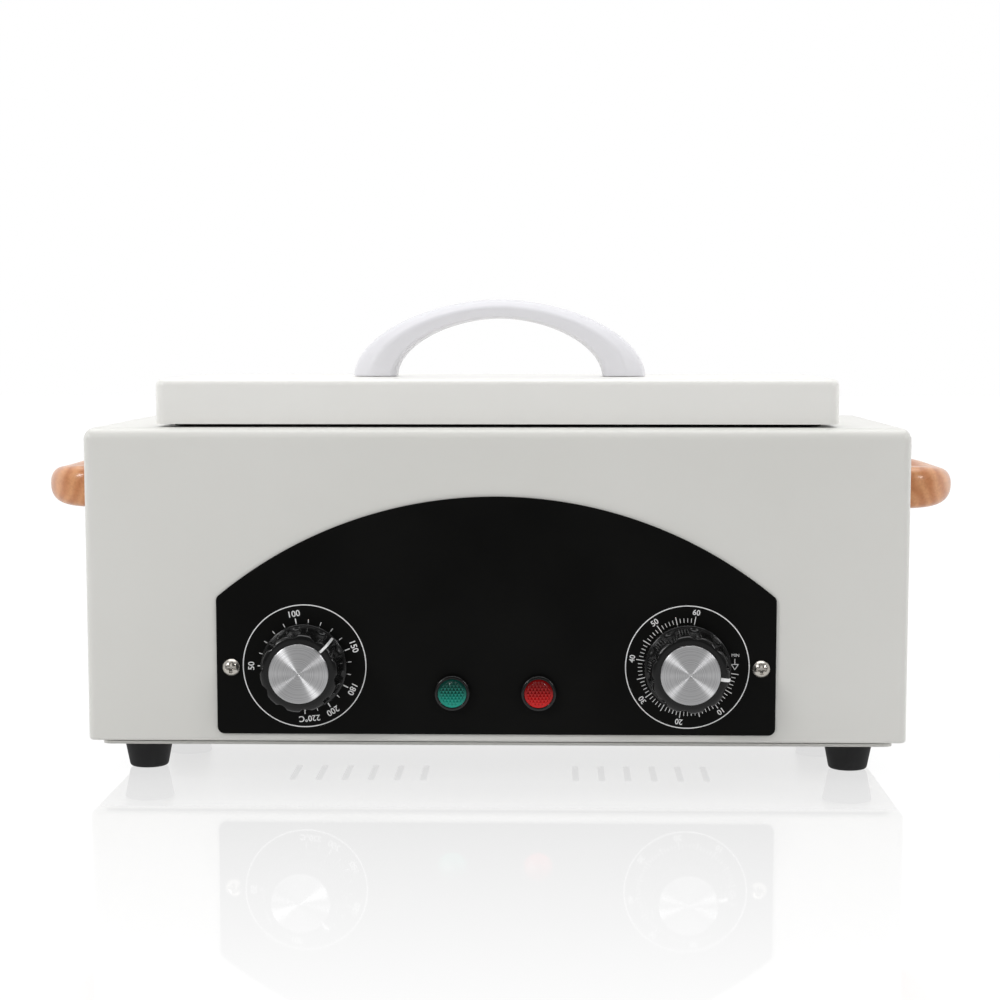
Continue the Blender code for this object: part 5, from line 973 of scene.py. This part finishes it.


# upper is each lens colour darkened as painted shade, and lower is the colour lightened as painted glow and glints
for side, colour, upper, lower in (
    (-1, "green", (0.000, 0.036, 0.027), (0.001, 0.330, 0.245)),
    (1, "red", (0.150, 0.000, 0.000), (0.640, 0.004, 0.004)),
):
    lens_acrylic_painted_glow = acrylic(f"{colour}_acrylic", upper, lower)
    at = (side * LAMP_X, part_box(f"lamp_bezel_{colour}")[0][1] + BEZEL_HEIGHT, LAMP_Z)
    corners = [(RIM_RADIUS, BEZEL_HEIGHT - RIM_DEPTH), (RIM_RADIUS, BEZEL_HEIGHT), (BEZEL_RADIUS, BEZEL_HEIGHT)]
    corners += [(BEZEL_RADIUS, 0.0), (BARREL_RADIUS, 0.0), (BARREL_RADIUS, -BARREL_LENGTH), (BARREL_BORE, -BARREL_LENGTH)]
    corners += [(BARREL_BORE, BEZEL_HEIGHT - RIM_DEPTH), (RIM_RADIUS, BEZEL_HEIGHT - RIM_DEPTH)]
    line = eased(corners, (0.0003, BEZEL_EDGE, 0.0002, 0.0001, 0.0002, 0.0002, 0.0002), 6)
    bezel_mesh = skin("bezel", out_to_front(turned(line[:-1], 96), *at), loop=True)
    piece(f"pilot_bezel_{colour}", bezel_mesh, black_plastic, "base", "black_plastic", f"lamp_bezel_{colour}")
    lens_mesh = skin("lens", out_to_front(lens_rings(), *at))
    piece(f"pilot_lens_{colour}", lens_mesh, lens_acrylic_painted_glow, "base", f"{colour}_lens", f"lamp_lens_{colour}", crease=14.0)
dress(nickel, "lamp_nut_green", "lamp_nut_red")

# Chamber: a tank drawn from stainless sheet. Its flange lies on the housing's top, and the lid's gasket closes on
# it. The drawing leaves the metal faintly brushed along its length.
stainless = finish(
    "stainless", (0.62, 0.61, 0.59), (0.57, 0.56, 0.54), (0.27, 0.33), 9.0, 600.0, (1.0, 22.0, 22.0), 0.000003,
    Metallic=1.0,
)
TANK_FLANGE = np.array((0.0110, 0.0050))
TANK_SHEET, TANK_CORNER, TANK_FLOOR_ROUND, TANK_EASE = 0.0008, 0.0100, 0.0040, 0.0010
tank_half = (tank_high - tank_low)[:2] / 2 - TANK_FLANGE
tank_top, tank_under = tank_high[2], tank_low[2]


def basin_ring(grow, z, corner):
    """A ring of the tank, its inner half sizes grown by one value."""
    return corner_ring(tank_half + grow, corner, z, TANK_MIDDLE, 10)


floor_inset, floor_drop = quarter_bend(TANK_FLOOR_ROUND)
ease_out, ease_drop = quarter_bend(TANK_EASE, steps=4)
tank_floor = tank_under + TANK_SHEET
tank_rings = [basin_ring(0.0, tank_floor, TANK_CORNER)[:0]]
tank_inside = [(-i, tank_floor + TANK_FLOOR_ROUND - d) for i, d in zip(floor_inset[::-1], floor_drop[::-1])]
tank_inside += [(e, tank_top - TANK_EASE + d) for e, d in zip(ease_out, ease_drop)]
outer_inset, outer_drop = quarter_bend(TANK_FLOOR_ROUND + TANK_SHEET)
tank_outside = [(TANK_SHEET - i, tank_under + TANK_FLOOR_ROUND + TANK_SHEET - d) for i, d in zip(outer_inset, outer_drop)]
rings = [basin_ring(g, z, TANK_CORNER + g) for g, z in tank_inside]
flange_half = tank_half + TANK_FLANGE
rings.append(corner_ring(flange_half, TANK_CORNER, tank_top, TANK_MIDDLE, 10))
rings.append(corner_ring(flange_half, TANK_CORNER, tank_top - TANK_SHEET, TANK_MIDDLE, 10))
rings.append(basin_ring(TANK_SHEET + 0.0002, tank_top - TANK_SHEET, TANK_CORNER + TANK_SHEET))
rings.append(basin_ring(TANK_SHEET, tank_top - TANK_SHEET - 0.0002, TANK_CORNER + TANK_SHEET))
rings += [basin_ring(g, z, TANK_CORNER + g) for g, z in tank_outside]
piece("drawn_tank", skin("tank", rings), stainless, "base", "stainless", "chamber")

# Insulation, heater and sensor: a glass-wool jacket round the tank, a steel-clad hairpin element under its floor,
# and the thermostat's copper bulb between the element's legs with its fine tube.
glass_wool = finish("glass_wool", (0.78, 0.72, 0.50), (0.60, 0.53, 0.32), (0.90, 1.0), 160.0, 1400.0, lift=0.0004)
copper = finish("copper", (0.74, 0.38, 0.22), (0.55, 0.26, 0.14), (0.28, 0.42), 90.0, 1500.0, lift=0.00001, Metallic=1.0)
dress(glass_wool, "chamber_insulation")
dress(stainless, "heater")
dress(copper, "sensor_bulb", "capillary_tube")

# Instrument tray: slotted stainless sheet with a rolled-out rim, lifted by a bent wire grip welded inside each end.
TRAY_RIM, TRAY_CORNER, TRAY_FLOOR_ROUND, TRAY_SHEET = 0.0020, 0.0080, 0.0025, 0.0008
tray_low, tray_high = (np.array(corner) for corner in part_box("instrument_tray"))
tray_middle = (tray_low + tray_high)[:2] / 2
tray_half = (tray_high - tray_low)[:2] / 2 - TRAY_SHEET - TRAY_RIM
tray_floor, tray_top = tray_low[2] + TRAY_SHEET, tray_high[2]


def tray_ring(grow, z):
    """A ring of the tray, its inner half sizes and corners grown by one value."""
    return corner_ring(tray_half + grow, TRAY_CORNER + grow, z, tray_middle, 10)


inset, drop = quarter_bend(TRAY_FLOOR_ROUND)
rim_out, rim_drop = quarter_bend(TRAY_RIM * 0.6, steps=4)
rings = [tray_ring(-i, tray_floor + TRAY_FLOOR_ROUND - d) for i, d in zip(inset[::-1], drop[::-1])]
rings += [tray_ring(e, tray_top - TRAY_RIM * 0.6 + d) for e, d in zip(rim_out, rim_drop)]
rings += [tray_ring(TRAY_RIM + TRAY_SHEET, tray_top), tray_ring(TRAY_RIM + TRAY_SHEET, tray_top - TRAY_SHEET)]
rings += [tray_ring(TRAY_SHEET + 0.0004, tray_top - TRAY_SHEET), tray_ring(TRAY_SHEET, tray_top - TRAY_SHEET - 0.0004)]
inset, drop = quarter_bend(TRAY_FLOOR_ROUND + TRAY_SHEET)
rings += [tray_ring(TRAY_SHEET - i, tray_low[2] + TRAY_FLOOR_ROUND + TRAY_SHEET - d) for i, d in zip(inset, drop)]
tray_tools = []
for column in (np.arange(11) - 5) * 0.019:
    for row in (-0.018, 0.018):
        tool = upright_slot(0.028, 0.004, column, 0.0, -0.002, 0.003)
        points = np.empty(len(tool.vertices) * 3)
        tool.vertices.foreach_get("co", points)
        points = points.reshape(-1, 3)[:, [0, 2, 1]] * (1, -1, 1) + (tray_middle[0], tray_middle[1] + row, tray_low[2])
        tool.vertices.foreach_set("co", points.ravel())
        tray_tools.append(tool)
piece("slotted_tray", punched(skin("tray", rings), tray_tools), stainless, "base", "stainless", "instrument_tray")

GRIP_WIRE_RADIUS, GRIP_BEND = 0.0013, 0.0060


def tube_rings(path, radius, around=20):
    """Rings of a round wire: at each point of the path, a circle square to the path's direction there, spanned by
    the tray's long axis and the cross product of that axis with the direction."""
    way = np.gradient(path, axis=0)
    way /= np.linalg.norm(way, axis=1, keepdims=True)
    first = np.broadcast_to((1.0, 0.0, 0.0), way.shape)
    second = np.cross(way, first)
    turn = np.linspace(0.0, 2 * np.pi, around, endpoint=False)
    around_path = first[:, None] * np.cos(turn)[None, :, None] + second[:, None] * np.sin(turn)[None, :, None]
    return path[:, None] + radius * around_path


for side in ("left", "right"):
    low, high = (np.array(corner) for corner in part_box(f"tray_grip_{side}"))
    x = (low[0] + high[0]) / 2
    r = GRIP_WIRE_RADIUS
    corners = [(x, low[1] + r, low[2]), (x, low[1] + r, high[2] - r), (x, high[1] - r, high[2] - r), (x, high[1] - r, low[2])]
    rings = tube_rings(eased(corners, GRIP_BEND, 12), r)
    piece(f"wire_grip_{side}", skin("grip", rings), stainless, "base", "stainless", f"tray_grip_{side}")

# Cord entry: a rubber bush pressed into the back wall, its groove holding the sheet, and the terminal block on
# the bottom plate behind it.
bush_corners = [(0.0036, 0.0020), (0.0080, 0.0020), (0.0080, 0.0), (0.0057, 0.0), (0.0057, -0.0016), (0.0080, -0.0016)]
bush_corners += [(0.0080, -0.0036), (0.0036, -0.0036), (0.0036, 0.0020)]
bush_line = eased(bush_corners, (0.0009, 0.0002, 0.0001, 0.0001, 0.0002, 0.0007, 0.0004), 5)
bush_rings = faced_front(turned(bush_line[:-1], 72), BUSH_X, bush_high[1] - 0.0020, BUSH_Z)
piece("rubber_bush", skin("bush", bush_rings, loop=True), black_rubber, "base", "black_rubber", "cord_bush")
dress(brown_phenolic, "terminal_block")

# Hinges: pressed stainless leaves rolled round a nickel-plated pin, one leaf welded to the housing's top and one
# to the back of the lid.
dress(stainless, "hinge_leaf_lower_left", "hinge_leaf_lower_right", "hinge_leaf_upper_left", "hinge_leaf_upper_right")
dress(nickel, "hinge_pin_left", "hinge_pin_right")

# Lid: a shallow pan of the same coated sheet, closed below by a stainless liner with an insulation board between
# them. A black gasket round the liner meets the chamber's flange.
LID_CORNER, LID_ROUND = 0.0045, 0.0030
lid_low, lid_high = (np.array(corner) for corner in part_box("lid_shell"))
lid_half, lid_middle = (lid_high - lid_low)[:2] / 2, (lid_high + lid_low)[:2] / 2
inset, rise = quarter_bend(LID_ROUND)
rings = [corner_ring(lid_half, LID_CORNER, lid_low[2], lid_middle)]
rings += [corner_ring(lid_half - i, LID_CORNER - i, lid_high[2] - LID_ROUND + r, lid_middle) for i, r in zip(inset, rise)]
inset, rise = quarter_bend(LID_ROUND - SHEET)
inner = [corner_ring(lid_half - SHEET, LID_CORNER - SHEET, lid_low[2], lid_middle)]
inner += [corner_ring(lid_half - SHEET - i, LID_CORNER - SHEET - i, lid_high[2] - LID_ROUND + r, lid_middle) for i, r in zip(inset, rise)]
# The lid's enamel is the housing's paint with its colour raised as painted light, so that the lid's front renders
# brighter than the body's front.
lid_enamel_painted_light = finish(
    "lid_enamel_painted_light", (0.900, 0.893, 0.862), (0.885, 0.878, 0.846), (0.28, 0.36), 9.0, 900.0, lift=0.000012,
    **{"Coat Weight": 0.15, "Coat Roughness": 0.12},
)
piece("lid_pan", skin("lid_pan", inner[::-1] + rings), lid_enamel_painted_light, "lid", "white_paint", "lid_shell")

liner_low, liner_high = (np.array(corner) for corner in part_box("lid_liner"))
liner_half = (liner_high - liner_low)[:2] / 2
LINER_SHEET, LINER_ROUND = 0.0008, 0.0015


def liner_ring(inset, z):
    """A ring of the liner, drawn in from its outside."""
    return corner_ring(liner_half - inset, LID_CORNER - SHEET + LINER_SHEET - inset * 0.6, z, lid_middle)


inset, rise = quarter_bend(LINER_ROUND + LINER_SHEET)
rings = [liner_ring(i, liner_low[2] + LINER_ROUND + LINER_SHEET - r) for i, r in zip(inset[::-1], rise[::-1])]
rings += [liner_ring(0.0, liner_high[2]), liner_ring(LINER_SHEET, liner_high[2])]
inset, rise = quarter_bend(LINER_ROUND)
rings += [liner_ring(LINER_SHEET + i, liner_low[2] + LINER_SHEET + LINER_ROUND - r) for i, r in zip(inset, rise)]
piece("pressed_liner", skin("liner", rings), stainless, "lid", "stainless", "lid_liner")
dress(glass_wool, "lid_insulation")

gasket_low, gasket_high = (np.array(corner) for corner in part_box("lid_gasket"))
gasket_half = (gasket_high - gasket_low)[:2] / 2
GASKET_WIDTH = 0.0060
gasket_section = eased(
    [(0.003, gasket_high[2]), (0.0, gasket_high[2]), (0.0, gasket_low[2]), (GASKET_WIDTH, gasket_low[2]), (GASKET_WIDTH, gasket_high[2]), (0.003, gasket_high[2])],
    (0.0003, 0.0010, 0.0010, 0.0003), 4,
)[:-1]
rings = [corner_ring(gasket_half - i, 0.0060 - i * 0.5, z, lid_middle) for i, z in gasket_section]
piece("door_gasket", skin("gasket", rings, loop=True), black_rubber, "lid", "black_rubber", "lid_gasket")

# Lid handle: one arch moulded in glossy white plastic, deep at its feet and slimmer at its crown, with a soft
# ridge along each face. Two screws from inside the lid hold it.
white_plastic = finish(
    "white_plastic", (0.815, 0.810, 0.842), (0.800, 0.795, 0.827), (0.22, 0.30), 20.0, 1200.0, lift=0.000006,
    **{"Specular IOR Level": 0.15},
)
ARCH_OUTER, ARCH_INNER = (0.0657, 0.0342), (0.0463, 0.0256)
ARCH_POWER = 1.85
ARCH_FOOT_DEPTH, ARCH_CROWN_DEPTH = 0.0260, 0.0190
ARCH_SECTION_SHARES = np.array(
    [(1.00, 0.00), (1.00, 0.60), (0.20, 1.00), (-0.86, 0.90), (-1.00, 0.52)]
    + [(-1.00, -0.52), (-0.86, -0.90), (0.20, -1.00), (1.00, -0.60), (1.00, 0.00)]
)
ARCH_ROUNDING_SHARES = (0.40, 0.22, 0.16, 0.20, 0.20, 0.16, 0.22, 0.40)


def arch_rings(stations=120):
    """Rings along the arch. Both edges are half ovals, (half width cos^(2/p), rise sin^(2/p)) of the station's
    angle. Each ring is the rounded section, whose shares count half the distance between the edges one way and
    half the depth the other. Its corner nearest to the outer edge makes the ridge."""
    angle = np.pi * (1 - np.linspace(0.0, 1.0, stations))
    along, up = signed_power(np.cos(angle), 2 / ARCH_POWER), abs(np.sin(angle)) ** (2 / ARCH_POWER)
    outer = np.stack([ARCH_OUTER[0] * along, 0 * up, ARCH_OUTER[1] * up], -1)
    inner = np.stack([ARCH_INNER[0] * along, 0 * up, ARCH_INNER[1] * up], -1)
    centre, out = (outer + inner) / 2, (outer - inner) / 2
    depth = ARCH_CROWN_DEPTH + (ARCH_FOOT_DEPTH - ARCH_CROWN_DEPTH) * np.cos(angle) ** 2
    across, deep = eased(ARCH_SECTION_SHARES, ARCH_ROUNDING_SHARES, 7)[:-1].T
    rings = centre[:, None] + out[:, None] * across[None, :, None]
    rings[..., 1] += depth[:, None] / 2 * deep
    return rings


handle_low, handle_high = (np.array(corner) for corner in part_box("lid_handle"))
rings = arch_rings() + (0.0, lid_middle[1], handle_low[2])
piece("arch_handle", skin("arch", rings), white_plastic, "lid", "white_plastic", "lid_handle", crease=60.0)
dress(nickel, "lid_handle_screw_left", "lid_handle_screw_right")
